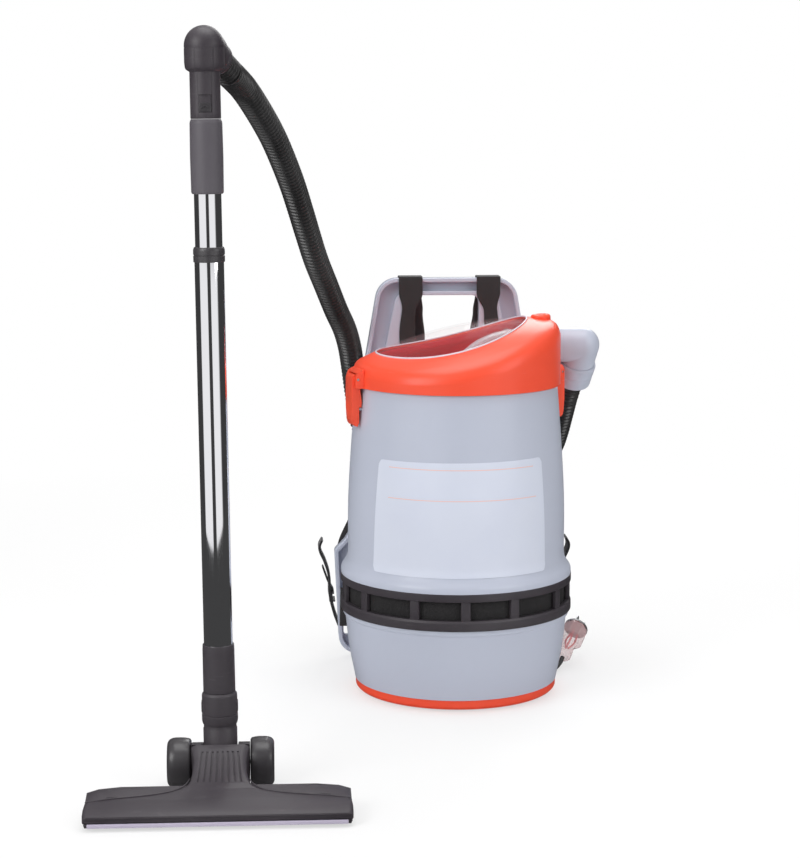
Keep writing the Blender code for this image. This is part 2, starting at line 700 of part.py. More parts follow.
def make_motor():
    bottom = LOWER_Z + WALL + SEAM
    case_z = bottom + MOUNT_HEIGHT + SEAM
    case_top = DRUM_Z - SEAM - SEAL_HEIGHT - SEAM
    piece(turned("motor_mount", [
        (MOTOR_CASE_RADIUS, case_z - SEAM),
        (MOTOR_CASE_RADIUS + 0.004, bottom),
        (FLOOR_HOLE + 0.004, bottom),
        (FLOOR_HOLE + 0.004, case_z - SEAM),
    ], CASE_SIDES), RUBBER)
    piece(turned("motor_seal", [
        (FAN_CASE_RADIUS - 0.006, DRUM_Z - SEAM),
        (FAN_CASE_RADIUS - 0.002, case_top + SEAM),
        (INTAKE_RADIUS + 0.008, case_top + SEAM),
        (INTAKE_RADIUS + 0.012, DRUM_Z - SEAM),
    ], CASE_SIDES), RUBBER)
    step = case_top - FAN_CASE_HEIGHT
    hole = SHAFT_RADIUS + RUNNING_GAP
    case = turned("motor_case", [
        (FAN_CASE_RADIUS, case_top),
        (FAN_CASE_RADIUS, step),
        (MOTOR_CASE_RADIUS, step - 0.006),
        (MOTOR_CASE_RADIUS, case_z),
        (hole, case_z),
        (hole, case_z + WALL),
        (MOTOR_CASE_RADIUS - WALL, case_z + WALL),
        (MOTOR_CASE_RADIUS - WALL, step - 0.004),
        (FAN_CASE_RADIUS - WALL, step + 0.002),
        (FAN_CASE_RADIUS - WALL, case_top - WALL),
        (INTAKE_RADIUS, case_top - WALL),
        (INTAKE_RADIUS, case_top),
    ], CASE_SIDES)
    slots = bmesh.new()
    for k in range(6):
        turn = Matrix.Rotation(math.pi * k / 3, 4, "Z")
        middle = Matrix.Translation((FAN_CASE_RADIUS, 0, step + FAN_CASE_HEIGHT / 2))
        bmesh.ops.create_cube(slots, size=1.0, matrix=turn @ middle
                              @ Matrix.Diagonal((0.03, 0.036, FAN_CASE_HEIGHT * 0.4, 1.0)))
    piece(cut(case, from_bmesh("case_slots", slots)), STEEL)
    core_top = step - 0.012
    piece(turned("motor_stator", [
        (MOTOR_CASE_RADIUS - WALL - SEAM, core_top - 0.012),
        (MOTOR_CASE_RADIUS - WALL - SEAM, case_z + WALL + 0.012),
        (MOTOR_CASE_RADIUS - WALL - 0.008, case_z + WALL + SEAM),
        (0.019, case_z + WALL + SEAM),
        (0.019, core_top),
        (MOTOR_CASE_RADIUS - WALL - 0.008, core_top),
    ], CASE_SIDES), COPPER)
    fan_z = step + 0.006
    pivot = empty("fan_pivot", (0, 0, fan_z))
    rotor_z = case_z + WALL + 0.006 - fan_z
    shaft_z = case_z + 0.0005 - fan_z
    fan = turned("motor_fan", [
        (0, 0.024),
        (0.008, 0.022),
        (0.016, 0.003),
        (FAN_RADIUS, 0.003),
        (FAN_RADIUS, 0.001),
        (0.014, 0.0),
        (0.014, rotor_z),
        (SHAFT_RADIUS, rotor_z - 0.002),
        (SHAFT_RADIUS, shaft_z),
        (0, shaft_z),
    ], 16)
    fan.parent = pivot
    blades = bmesh.new()
    for k in range(FAN_BLADES):
        turn = Matrix.Rotation(2 * math.pi * k / FAN_BLADES, 4, "Z")
        lean = Matrix.Translation((0.036, 0, 0.0085)) @ Matrix.Rotation(math.radians(32), 4, "Z")
        bmesh.ops.create_cube(blades, size=1.0, matrix=turn @ lean
                              @ Matrix.Diagonal((0.046, 0.0016, 0.015, 1.0)))
    vanes = guide(from_bmesh("fan_vanes", blades), pivot)
    piece(join(fan, vanes), STEEL, pivot)
    grille = turned("intake_grille", [
        (0, DRUM_Z + WALL + SEAM + 0.007),
        (GRILLE_RADIUS - 0.012, DRUM_Z + WALL + SEAM + 0.006),
        (GRILLE_RADIUS, DRUM_Z + WALL + SEAM + 0.003),
        (GRILLE_RADIUS, DRUM_Z + WALL + SEAM),
        (0, DRUM_Z + WALL + SEAM),
    ], CASE_SIDES)
    slots = bmesh.new()
    for k in range(-2, 3):
        length = 2 * math.sqrt((INTAKE_RADIUS - 0.002) ** 2 - (k * 0.0105) ** 2)
        bmesh.ops.create_cube(slots, size=1.0, matrix=Matrix.Translation(
            (k * 0.0105, 0, DRUM_Z + WALL)) @ Matrix.Diagonal((0.0065, length, 0.04, 1.0)))
    piece(cut(grille, from_bmesh("grille_slots", slots)), BLACK)


def make_filter_bag():
    """An open cloth sack under a hoop, which rests on the ledge inside the drum's rim."""
    hoop_z = LID_Z - LEDGE_DROP + SEAM
    outer = DRUM_TOP_RADIUS - WALL - 0.0010
    inner = LEDGE_RADIUS - 0.0045
    piece(turned("bag_hoop", [
        (outer, hoop_z + HOOP_HEIGHT),
        (outer, hoop_z),
        (inner, hoop_z),
        (inner, hoop_z + HOOP_HEIGHT),
    ], CASE_SIDES), BLACK)
    top = hoop_z - SEAM
    low = LID_Z - BAG_DEPTH
    wide = LEDGE_RADIUS - 0.0008
    piece(turned("filter_bag", [
        (wide, top),
        (wide, low + 0.088),
        (wide - 0.006, low + 0.024),
        (wide - 0.029, low),
        (0, low),
        (0, low + BAG_CLOTH),
        (wide - 0.030, low + BAG_CLOTH),
        (wide - 0.006 - BAG_CLOTH, low + 0.026),
        (wide - BAG_CLOTH, low + 0.090),
        (wide - BAG_CLOTH, top),
    ], CASE_SIDES), BAG)


# ---------------------------------------------------------------- lid


def lid_top(x, y, height=RIM_HEIGHT, slope=RIM_SLOPE):
    return LID_Z + height + slope * x - LID_CURVE * y * y


def window_rim(angle, grow=0.0):
    x = WINDOW_CENTRE_X + (WINDOW_HALF_LENGTH + grow) * math.cos(angle)
    y = (WINDOW_HALF_WIDTH + grow) * math.sin(angle)
    return Vector((x, y, lid_top(x, y)))


def lid_ring(radius, height, slope):
    ring = []
    for k in range(DRUM_SIDES):
        point = polar(radius, 2 * math.pi * k / DRUM_SIDES, 0)
        point.z = lid_top(point.x, point.y, height, slope)
        ring.append(point)
    return ring


def skin(name, rings, thickness, closed_top=False):
    """A moulded shell: rings joined as an open surface, given its thickness inwards."""
    shape = bmesh.new()
    loops = [[shape.verts.new(point) for point in ring] for ring in rings]
    count = len(loops[0])
    for low, high in zip(loops, loops[1:]):
        for i in range(count):
            j = (i + 1) % count
            shape.faces.new((low[i], low[j], high[j], high[i]))
    if closed_top:
        shape.faces.new(loops[-1])
    mesh = bpy.data.meshes.new(name)
    shape.to_mesh(mesh)
    shape.free()
    mesh.shade_smooth()
    mesh.set_sharp_from_angle(angle=math.radians(40))
    obj = bpy.data.objects.new(name, mesh)
    wall = obj.modifiers.new("Wall", "SOLIDIFY")
    wall.thickness = thickness
    wall.offset = -1.0
    return obj


def make_lid(lid):
    angles = [2 * math.pi * k / DRUM_SIDES for k in range(DRUM_SIDES)]
    base = [polar(LID_RADIUS, a, LID_Z) for a in angles]
    shell = skin("lid_shell", [
        base,
        lid_ring(LID_RADIUS, WALL_HEIGHT, WALL_SLOPE),
        lid_ring(SHOULDER_RADIUS, SHOULDER_HEIGHT, SHOULDER_SLOPE),
        lid_ring(CROWN_RADIUS, CROWN_HEIGHT, CROWN_SLOPE),
        [window_rim(a, SEAM) for a in angles],
    ], WALL)
    inside = Vector((LID_RADIUS * 0.75, ELBOW_Y, ELBOW_Z))
    port = rod("elbow_port", inside, (ELBOW_X - 0.014, ELBOW_Y, ELBOW_Z), ELBOW_RADIUS + SEAM)
    for way in (1, -1):
        housing, slot, pin_hole = latch_housing(way)
        cut(join(shell, housing), slot, pin_hole)
    share = (BOSS_X - WINDOW_HALF_LENGTH) / (CROWN_RADIUS - WINDOW_HALF_LENGTH)
    boss_z = (lid_top(BOSS_X, 0) * (1 - share)
              + lid_top(BOSS_X, 0, CROWN_HEIGHT, CROWN_SLOPE) * share)
    boss = turned("lid_boss", [
        (0, 0.0030),
        (BOSS_RADIUS * 0.45, 0.0030),
        (BOSS_RADIUS * 0.55, 0.0045),
        (BOSS_RADIUS * 0.85, 0.0045),
        (BOSS_RADIUS, 0.0015),
        (BOSS_RADIUS, -0.003),
        (0, -0.003),
    ], TUBE_SIDES, (BOSS_X, 0, boss_z), (0, -math.atan(0.06), 0))
    piece(join(cut(shell, port), boss), ORANGE, lid)

    dome = []
    for share in (1.0, 0.94, 0.75, 0.42):
        ring = []
        for a in angles:
            x = WINDOW_CENTRE_X + (WINDOW_HALF_LENGTH - SEAM) * share * math.cos(a)
            y = (WINDOW_HALF_WIDTH - SEAM) * share * math.sin(a)
            ring.append(Vector((x, y, lid_top(x, y) + WINDOW_CROWN * (1 - share ** 2))))
        dome.append(ring)
    piece(skin("lid_window", dome, WINDOW_WALL, closed_top=True), CLEAR, lid)

    inner = LID_RADIUS - WALL - SEAM
    piece(turned("lid_gasket", [
        (inner - 0.001, LID_Z + GASKET_HEIGHT),
        (inner - 0.001, LID_Z),
        (inner - 0.009, LID_Z),
        (inner - 0.006, LID_Z + GASKET_HEIGHT),
    ], CASE_SIDES), RUBBER, lid)
    tray_z = LID_Z + GASKET_HEIGHT + SEAM
    mouth = duct_route()[-1]
    tray = turned("lid_liner", [
        (0, tray_z + 0.002),
        (inner - 0.010, tray_z + 0.002),
        (inner - 0.002, tray_z + TRAY_DEPTH),
        (inner, tray_z + TRAY_DEPTH),
        (inner, tray_z),
        (0, tray_z),
    ])
    hole = rod("duct_hole", (mouth.x, mouth.y, tray_z - 0.01), (mouth.x, mouth.y, tray_z + 0.01),
               DUCT_RADIUS + 0.0008)
    piece(cut(tray, hole), RED, lid)
    duct = as_mesh(tube("inlet_duct", duct_route(), DUCT_RADIUS, 3))
    start, end = duct_route()[0], duct_route()[-1]
    bore_route = [start + Vector((0.01, 0, 0))] + duct_route()[1:-1] + [end - Vector((0, 0, 0.01))]
    bore = as_mesh(tube("duct_bore", bore_route, DUCT_RADIUS - DUCT_WALL, 3))
    piece(cut(duct, bore), CLEAR, lid)


def duct_route():
    """From the elbow's inner end over the liner and down into its hole."""
    inner_end = LID_RADIUS * 0.80 - SEAM
    return [
        Vector((inner_end, ELBOW_Y, ELBOW_Z)),
        Vector((0.098, ELBOW_Y, ELBOW_Z)),
        Vector((0.078, ELBOW_Y * 0.86, ELBOW_Z - 0.0010)),
        Vector((0.058, ELBOW_Y * 0.62, ELBOW_Z - 0.0045)),
        Vector((0.040, ELBOW_Y * 0.38, ELBOW_Z - 0.0115)),
        Vector((0.0265, ELBOW_Y * 0.17, ELBOW_Z - 0.0205)),
        Vector((0.0185, ELBOW_Y * 0.04, ELBOW_Z - 0.0290)),
        Vector((0.0160, 0.0, ELBOW_Z - 0.0355)),
        Vector((0.0160, 0.0, LID_Z + GASKET_HEIGHT)),
    ]


def make_elbow(lid):
    inner_end = Vector((LID_RADIUS * 0.80, ELBOW_Y, ELBOW_Z))
    spigot = CUFF_START - ELBOW_DOWN * SEAM
    tip = CUFF_START + ELBOW_DOWN * 0.014
    elbow = rod("inlet_elbow", inner_end, ELBOW_CORNER, ELBOW_RADIUS)
    join(elbow, ball("elbow_corner", ELBOW_CORNER, ELBOW_RADIUS * 1.004),
         rod("elbow_leg", ELBOW_CORNER, spigot, ELBOW_RADIUS),
         rod("elbow_spigot", ELBOW_CORNER, tip, ELBOW_RADIUS - 0.003))
    cut(elbow, rod("pipe_bore", inner_end - Vector((0.01, 0, 0)), ELBOW_CORNER, ELBOW_BORE),
        ball("corner_bore", ELBOW_CORNER, ELBOW_BORE * 1.004),
        rod("leg_bore", ELBOW_CORNER, tip + ELBOW_DOWN * 0.01, ELBOW_BORE))
    piece(elbow, GREY, lid)
    heading = ELBOW_DOWN.to_track_quat("Z", "Y").to_euler()
    pivot = empty("cuff_pivot", CUFF_START, heading, lid)
    socket = ELBOW_RADIUS - 0.003 + RUNNING_GAP
    cuff = turned("elbow_cuff", [
        (CUFF_RADIUS - 0.003, CUFF_LENGTH),
        (CUFF_RADIUS - 0.001, CUFF_LENGTH - 0.002),
        (CUFF_RADIUS, 0.004),
        (CUFF_RADIUS - 0.002, 0.0),
        (socket, 0.0),
        (socket, 0.015),
        (HOSE_BORE + 0.001, 0.018),
        (HOSE_BORE + 0.001, CUFF_LENGTH),
    ], TUBE_SIDES)
    piece(cuff, GREY, pivot)
    return pivot


def latch_housing(way):
    """The lid's block for one latch, with the slot and the pin hole to cut from it."""
    facing = (0, 0, LATCH_ANGLE + (0 if way > 0 else math.pi))
    root = LID_RADIUS - WALL * 0.6
    out = LID_RADIUS + HOUSING_OUT
    top = LID_Z + HOUSING_RISE
    outline = [(root, LID_Z), (out - 0.0015, LID_Z), (out, LID_Z + 0.0015),
               (out, top - 0.012), (out - 0.003, top - 0.004), (root, top)]
    housing = flat(f"latch_housing_{way}", [outline], HOUSING_WIDTH, (0, 0, 0), (
        math.pi / 2, 0, facing[2]))
    slot_low, slot_high = LID_Z - 0.004, LATCH_PIVOT_Z + LATCH_BARREL + 0.0012
    slot = block(f"latch_slot_{way}", (0.030, LATCH_WIDTH + 2 * RUNNING_GAP,
                                       slot_high - slot_low),
                 polar(LID_RADIUS - 0.0001 + 0.015, facing[2], (slot_low + slot_high) / 2))
    slot.rotation_euler = facing
    across = polar(HOUSING_WIDTH, facing[2] + math.pi / 2, 0)
    pivot = polar(LATCH_PIVOT_RADIUS, facing[2], LATCH_PIVOT_Z)
    pin_hole = rod(f"pin_hole_{way}", pivot - across * 0.55, pivot + across * 0.55,
                   PIN_RADIUS + SEAM, sides=PIN_SIDES)
    return housing, slot, pin_hole


def make_latches(lid):
    side = drum_side()
    for facing, name in ((LATCH_ANGLE, "latch_right"), (LATCH_ANGLE + math.pi, "latch_left")):
        pivot = empty(f"{name}_pivot", polar(LATCH_PIVOT_RADIUS, facing, LATCH_PIVOT_Z),
                      (0, 0, facing), lid)
        clear = 0.0010
        catch = catch_height()
        end = LATCH_PIVOT_Z - LATCH_REACH
        hook = CATCH_HEIGHT / 2 + clear
        inner = [
            (LATCH_PIVOT_RADIUS - LATCH_BARREL * 0.85, LATCH_PIVOT_Z - 0.003),
            (LID_RADIUS + clear, LID_Z + 0.004),
            (LID_RADIUS + clear, LID_Z - 0.002),
            (radius_at(side, catch + 0.010) + clear, catch + 0.010),
            (radius_at(side, catch + hook) + clear, catch + hook),
            (radius_at(side, catch) + CATCH_DEPTH + clear, catch + hook),
            (radius_at(side, catch) + CATCH_DEPTH + clear, end + 0.006),
            (radius_at(side, end) + CATCH_DEPTH, end + 0.003),
        ]
        low = radius_at(side, end)
        outer = [
            (low + CATCH_DEPTH + 0.0010, end),
            (low + 0.0080, end + 0.0015),
            (low + LATCH_THICKNESS, end + 0.009),
            (low + LATCH_THICKNESS + 0.0008, end + 0.026),
            (LATCH_PIVOT_RADIUS + LATCH_BARREL + 0.0004, LATCH_PIVOT_Z - 0.016),
        ]
        cap = [(LATCH_PIVOT_RADIUS + LATCH_BARREL * math.cos(math.radians(a)),
                LATCH_PIVOT_Z + LATCH_BARREL * math.sin(math.radians(a)))
               for a in range(0, 181, 30)]
        outline = [(u - LATCH_PIVOT_RADIUS, v - LATCH_PIVOT_Z) for u, v in inner + outer + cap]
        latch = flat(name, [outline], LATCH_WIDTH, (0, 0, 0), (math.pi / 2, 0, 0))
        hole = rod(f"{name}_bore", (0, -0.03, 0), (0, 0.03, 0), PIN_RADIUS + RUNNING_GAP / 2,
                   sides=PIN_SIDES)
        guide(hole, pivot)
        piece(cut(latch, hole), ORANGE, pivot)
        span = HOUSING_WIDTH / 2
        piece(rod(f"{name}_pin", (0, -span, 0), (0, span, 0), PIN_RADIUS, sides=PIN_SIDES),
              STEEL, pivot)


# ---------------------------------------------------------------- harness


def frame_corners():
    return mirrored([
        (PLATE_HALF - 0.007, FRAME_BOTTOM, 0.028),
        (PLATE_HALF, PLATE_TOP - 0.015, 0.008),
        (PLATE_HALF - 0.015, PLATE_TOP, 0.010),
        (0.130, PLATE_TOP + 0.036, 0.030),
        (0.1220, 0.440, 0.060),
        (0.100, FRAME_TOP, 0.033),
    ])


def make_frame():
    corners = frame_corners()
    opening_top = FRAME_TOP - GRIP_BAR
    opening = mirrored([(HANDLE_HALF, HANDLE_LOW, 0.012), (HANDLE_HALF, opening_top, 0.012)])
    island = mirrored([
        (PLATE_HALF - 0.030, FRAME_BOTTOM + 0.024, 0.020),
        (PLATE_HALF - 0.027, PLATE_TOP - 0.034, 0.010),
        (PLATE_HALF - 0.040, PLATE_TOP - 0.018, 0.010),
        (0.104, PLATE_TOP + 0.020, 0.020),
        (0.096, 0.440, 0.050),
        (0.074, opening_top + FRAME_RIM, 0.022),
    ])
    upright = (math.pi / 2, 0, 0)
    frame = flat("harness_frame", [rounded(corners), rounded(opening)], FRAME_DEPTH,
                 (0, FRAME_Y + FRAME_DEPTH / 2, 0), upright)
    channel = flat("frame_channel", [rounded(inset(corners, FRAME_RIM)), rounded(island)],
                   2 * CHANNEL_DEPTH, (0, FRAME_Y, 0), upright)
    for way in (-1, 1):
        slot = flat(f"belt_slot_{way}", [rounded([
            (-0.0055, -0.038, 0.004), (0.0055, -0.038, 0.004),
            (0.0055, 0.038, 0.004), (-0.0055, 0.038, 0.004)], 2)], 0.06,
            (way * (PLATE_HALF - 0.0190), FRAME_Y, 0.070), upright)
        cut(frame, slot)
    piece(cut(frame, channel), GREY)


def make_brackets():
    """Blocks whose fronts fit the drum's side and whose backs meet the frame."""
    for name, side, low, high, half in (
        ("bracket_upper", drum_side(), 0.360, 0.415, 0.055),
        ("bracket_lower", lower_side(), 0.045, 0.095, 0.070),
    ):
        front = min(radius_at(side, low), radius_at(side, high)) * 0.86
        saddle = block(name, (2 * half, FRAME_Y - SEAM - front, high - low),
                       (0, (FRAME_Y - SEAM + front) / 2, (low + high) / 2))
        levels = ([(radius_at(side, high), high + 0.01), (radius_at(side, high), high)]
                  + [(r, z) for r, z in side if low < z < high]
                  + [(radius_at(side, low), low), (radius_at(side, low), low - 0.01)])
        hollow = turned(f"{name}_seat", [(0, high + 0.01)] + [(r + SEAM, z) for r, z in levels]
                        + [(0, low - 0.01)])
        piece(cut(saddle, hollow), GREY)


def make_pads():
    cushion("back_pad", BACK_PAD_HALF, BACK_PAD_LOW, BACK_PAD_HIGH, PAD_DEPTH, 3,
            FRAME_BACK + SEAM)
    cushion("lumbar_pad", LUMBAR_HALF, LUMBAR_LOW, LUMBAR_HIGH, PAD_DEPTH, 1, FRAME_BACK + SEAM)


def make_straps():
    front = FRAME_Y - SEAM - WEBBING / 2
    back = FRAME_BACK + SEAM + WEBBING / 2
    fold = WEBBING * 0.8
    for way, name in ((-1, "left"), (1, "right")):
        across = Vector((way, 0, 0))
        tilted = Vector((way, 0, 0.55))
        x = way * STRAP_X + STRAP_SHIFT
        plain, narrow = STRAP_WIDTH, STRAP_WIDTH * 0.66
        ribbon(f"shoulder_strap_{name}", [
            ((x + way * 0.004, front, 0.452), narrow, WEBBING, across),
            ((x + way * 0.005, front, 0.490), narrow, WEBBING, across),
            ((x + way * 0.003, front, 0.522), narrow * 0.86, WEBBING, across),
            ((x, front, 0.546), plain, WEBBING, across),
            *[((x, FRAME_Y - fold * math.cos(a), FRAME_TOP + fold * math.sin(a)),
               plain, WEBBING, across) for a in (0, math.pi / 4, math.pi / 2)],
            *[((x, FRAME_BACK + fold * math.sin(a), FRAME_TOP + fold * math.cos(a)),
               plain, WEBBING, across) for a in (0, math.pi / 4, math.pi / 2)],
            ((x, back, FRAME_TOP - 0.030), plain, WEBBING, across),
            ((x + way * 0.001, back + 0.008, 0.515), plain * 1.2, 0.008, across),
            ((x + way * 0.003, back + 0.0235, 0.470), plain * 1.6, 0.012, across),
            ((x + way * 0.008, back + 0.0265, 0.400), plain * 1.6, 0.012, across),
            ((x + way * 0.018, back + 0.0260, 0.340), plain * 1.5, 0.012, across),
            ((x + way * 0.036, back + 0.0225, 0.285), plain * 1.3, 0.010, tilted),
            ((x + way * 0.054, back + 0.0120, 0.245), plain * 1.0, 0.005, tilted),
            ((x + way * 0.072, back + 0.0040, 0.212), plain * 0.9, 0.003, tilted),
            ((x + way * 0.089, back + 0.0002, 0.178), plain * 0.9, WEBBING, tilted),
            ((x + way * 0.094, back + 0.0002, 0.163), plain * 0.9, WEBBING, tilted),
        ], CLOTH)
        belt_y = FRAME_BACK + SEAM + 0.017
        edge = way * (PLATE_HALF + 0.0035)
        deep = Vector((0, 1, 0))
        ribbon(f"hip_belt_{name}", [
            ((way * (PLATE_HALF - 0.011), belt_y, 0.034), 0.034, 0.004, deep),
            ((way * (PLATE_HALF - 0.005), belt_y, 0.048), 0.034, 0.004, deep),
            ((edge - way * 0.003, belt_y, 0.064), 0.034, 0.004, deep),
            ((edge + way * 0.003, belt_y, 0.090), 0.034, 0.004, deep),
            ((edge + way * 0.004, belt_y, 0.118), 0.034, 0.004, deep),
            ((edge + way * 0.010, belt_y, 0.140), 0.032, 0.004, deep),
            ((edge + way * 0.017, belt_y, 0.156), 0.030, 0.004, deep),
            ((edge + way * 0.018, belt_y, 0.165), 0.030, 0.004, deep),
            ((edge + way * 0.014, belt_y, 0.174), 0.030, 0.003, deep),
        ], CLOTH)


# ---------------------------------------------------------------- switch and lead


def make_switch():
    radius = radius_at(lower_side(), SWITCH_Z)
    seat = empty("switch_seat", polar(radius, SWITCH_ANGLE, SWITCH_Z), (0, 0, SWITCH_ANGLE))
    body = block("switch_body", (SWITCH_DEPTH, SWITCH_WIDTH - 0.004, SWITCH_HEIGHT - 0.004),
                 (0.003 - SWITCH_DEPTH / 2, 0, 0))
    bezel = guide(block("switch_bezel", (0.003, SWITCH_WIDTH, SWITCH_HEIGHT), (0.0035, 0, 0)), seat)
    pocket = guide(block("switch_pocket", (0.018, ROCKER_WIDTH + 2 * RUNNING_GAP,
                                           ROCKER_HEIGHT + 2 * RUNNING_GAP), (0.003, 0, 0)), seat)
    piece(cut(join(body, bezel), pocket), BLACK, seat)
    pivot = empty("rocker_pivot", (0.0005, 0, 0), None, seat)
    half = ROCKER_HEIGHT / 2
    outline = [(-0.003, -half * 0.45), (0.0045, -half), (0.0072, -half), (0.0050, 0.0),
               (0.0072, half), (0.0045, half), (-0.003, half * 0.45)]
    rocker = flat("switch_rocker", [outline], ROCKER_WIDTH, (0, 0, 0),
                  (math.pi / 2, math.radians(7), 0))
    piece(rocker, RED, pivot)


def gland_heading():
    return Vector((math.cos(GLAND_ANGLE) * 0.62, math.sin(GLAND_ANGLE) * 0.62, -0.785)).normalized()


def plug_axis():
    return Vector((0.40, 0.80, 0.44)).normalized()


PLUG_START = Vector((0.1665, 0.090, 0.0150))


def make_lead():
    side = lower_side()
    centre = polar(radius_at(side, GLAND_Z), GLAND_ANGLE, GLAND_Z)
    heading = gland_heading()
    tip = centre + heading * GLAND_LENGTH
    gland = rod("cord_gland", centre - heading * 0.008, tip, LEAD_RADIUS + 0.0022,
                LEAD_RADIUS + 0.0008, PIN_SIDES)
    collar_at = centre + heading * 0.0085
    join(gland, rod("gland_collar", collar_at, collar_at + heading * 0.004,
                    LEAD_RADIUS + 0.0048, sides=PIN_SIDES))
    piece(gland, RUBBER)
    start = tip + heading * SEAM
    end = PLUG_START - plug_axis() * SEAM
    floor = LEAD_RADIUS + 0.0004
    route = [
        start,
        start + heading * 0.013,
        Vector((0.1245, 0.138, 0.026)),
        Vector((0.1230, 0.136, 0.011)),
        Vector((0.1150, 0.124, floor)),
        Vector((0.1120, 0.104, floor)),
        Vector((0.1190, 0.083, floor)),
        Vector((0.1340, 0.0640, floor)),
        Vector((0.1500, 0.0640, floor + 0.001)),
        end - plug_axis() * 0.013,
        end,
    ]
    points, length = smooth_route(route, LEAD_RADIUS * 3)
    print(f"lead: {length:.3f} m")
    points[1] = start + heading * (points[1] - start).length
    points[-2] = end - plug_axis() * (points[-2] - end).length
    piece(as_mesh(tube("lead_cord", points, LEAD_RADIUS, 2), 50), RUBBER)

    turn = plug_axis().to_track_quat("Z", "Y").to_euler()
    body = turned("lead_plug", [
        (0, 0.066),
        (PLUG_RADIUS * 0.93, 0.066),
        (PLUG_RADIUS, 0.062),
        (PLUG_RADIUS, 0.040),
        (PLUG_RADIUS * 0.60, 0.032),
        (PLUG_RADIUS * 0.56, 0.022),
        (PLUG_RADIUS * 0.62, 0.014),
        (PLUG_RADIUS * 0.62, 0.004),
        (PLUG_RADIUS * 0.45, 0.0),
        (0, 0.0),
    ], 8, PLUG_START, turn)
    piece(body, ROSE)
    tip = PLUG_START + plug_axis() * (0.066 + SEAM)
    carrier = rod("plug_pins", tip, tip + plug_axis() * 0.003, PLUG_RADIUS * 0.94, sides=8)
    shape = bmesh.new()
    facing = plug_axis().to_track_quat("Z", "Y").to_matrix().to_4x4()
    for angle, lean in ((90, 0), (210, 30), (330, -30)):
        spot = polar(0.0085, math.radians(angle), 0.0105)
        bmesh.ops.create_cube(shape, size=1.0, matrix=Matrix.Translation(tip) @ facing
                              @ Matrix.Translation(spot)
                              @ Matrix.Rotation(math.radians(lean), 4, "Z")
                              @ Matrix.Diagonal((0.0016, 0.0063, 0.017, 1.0)))
    piece(join(carrier, from_bmesh("pin_blades", shape)), STEEL)


# ---------------------------------------------------------------- hose


def hose(name, route):
    points, length = smooth_route(route, RIB_PITCH / 2)
    first, last = points[0], points[-1]
    straight = 2 * HOSE_RADIUS
    start_way = (Vector(route[1]) - Vector(route[0])).normalized()
    end_way = (Vector(route[-1]) - Vector(route[-2])).normalized()
    crest = HOSE_RADIUS
    kept, radii = [first], [1.0]
    for i, point in enumerate(points[1:-1], 1):
        along = length * i / (len(points) - 1)
        if along < straight:
            point = first + start_way * along
        if length - along < straight:
            point = last - end_way * (length - along)
        kept.append(point)
        radii.append(1.0 if i % 2 == 0 else HOSE_ROOT / crest)
    kept.append(last)
    radii.append(1.0)
    print(f"{name}: {length:.3f} m, {len(kept) // 2} ribs")
    outer = as_mesh(tube(name, kept, crest, 2, radii), 70)
    bore = kept[::6] + ([kept[-1]] if (len(kept) - 1) % 6 else [])
    bore[0] = first - start_way * 0.01
    bore[-1] = last + end_way * 0.01
    piece(cut(outer, as_mesh(tube(f"{name}_bore", bore, HOSE_BORE, 2))), HOSE)
    return length


def leaned(point):
    """A point on the upright wand, moved to where the wand's small lean brings it."""
    base = Vector((WAND_X, WAND_Y, WHEEL_RADIUS))
    return base + Matrix.Rotation(-WAND_LEAN, 3, "Y") @ (Vector(point) - base)


def handle_outlet():
    """The hose cuff's start, at the end of the handle's outlet."""
    return leaned((WAND_X, WAND_Y, DOME_Z)) + OUTLET_WAY * OUTLET_REACH


HOSE_MEETING = (-0.012, 0.262, 0.258)


def make_hose():
    top = handle_outlet() + OUTLET_WAY * (HOSE_CUFF_LENGTH + SEAM)
    bottom = CUFF_MOUTH + ELBOW_DOWN * SEAM
    upper_route = [
        top,
        top + OUTLET_WAY * 0.036,
        (-0.2890, -0.300, 0.8390),
        (-0.2718, -0.250, 0.8126),
        (-0.2546, -0.200, 0.7812),
        (-0.2406, -0.155, 0.7486),
        (-0.2281, -0.110, 0.7149),
        (-0.2173, -0.070, 0.6802),
        (-0.2067, -0.030, 0.6444),
        (-0.1952, 0.010, 0.6075),
        (-0.1803, 0.060, 0.5688),
        (-0.1648, 0.110, 0.5287),
        (-0.1515, 0.147, 0.4980),
        (-0.1430, 0.177, 0.4680),
        (-0.1375, 0.204, 0.4350),
        (-0.1320, 0.224, 0.3950),
        (-0.1240, 0.239, 0.3500),
        (-0.1080, 0.250, 0.3080),
        (-0.0820, 0.258, 0.2740),
        (-0.0480, 0.262, 0.2580),
        HOSE_MEETING,
    ]
    lower_route = [
        bottom,
        bottom + ELBOW_DOWN * 0.036,
        (0.1650, 0.122, 0.3720),
        (0.1620, 0.147, 0.3430),
        (0.1580, 0.176, 0.3170),
        (0.1470, 0.206, 0.2930),
        (0.1270, 0.232, 0.2750),
        (0.0980, 0.250, 0.2640),
        (0.0620, 0.260, 0.2590),
        (0.0260, 0.262, 0.2580),
        (HOSE_MEETING[0] + SEAM, HOSE_MEETING[1], HOSE_MEETING[2]),
    ]
    total = hose("hose_upper", upper_route) + hose("hose_lower", lower_route)
    print(f"hose in all: {total:.3f} m")


# ---------------------------------------------------------------- wand


def wand_empty(name, height, parent):
    return empty(name, (0, 0, height), None, parent)


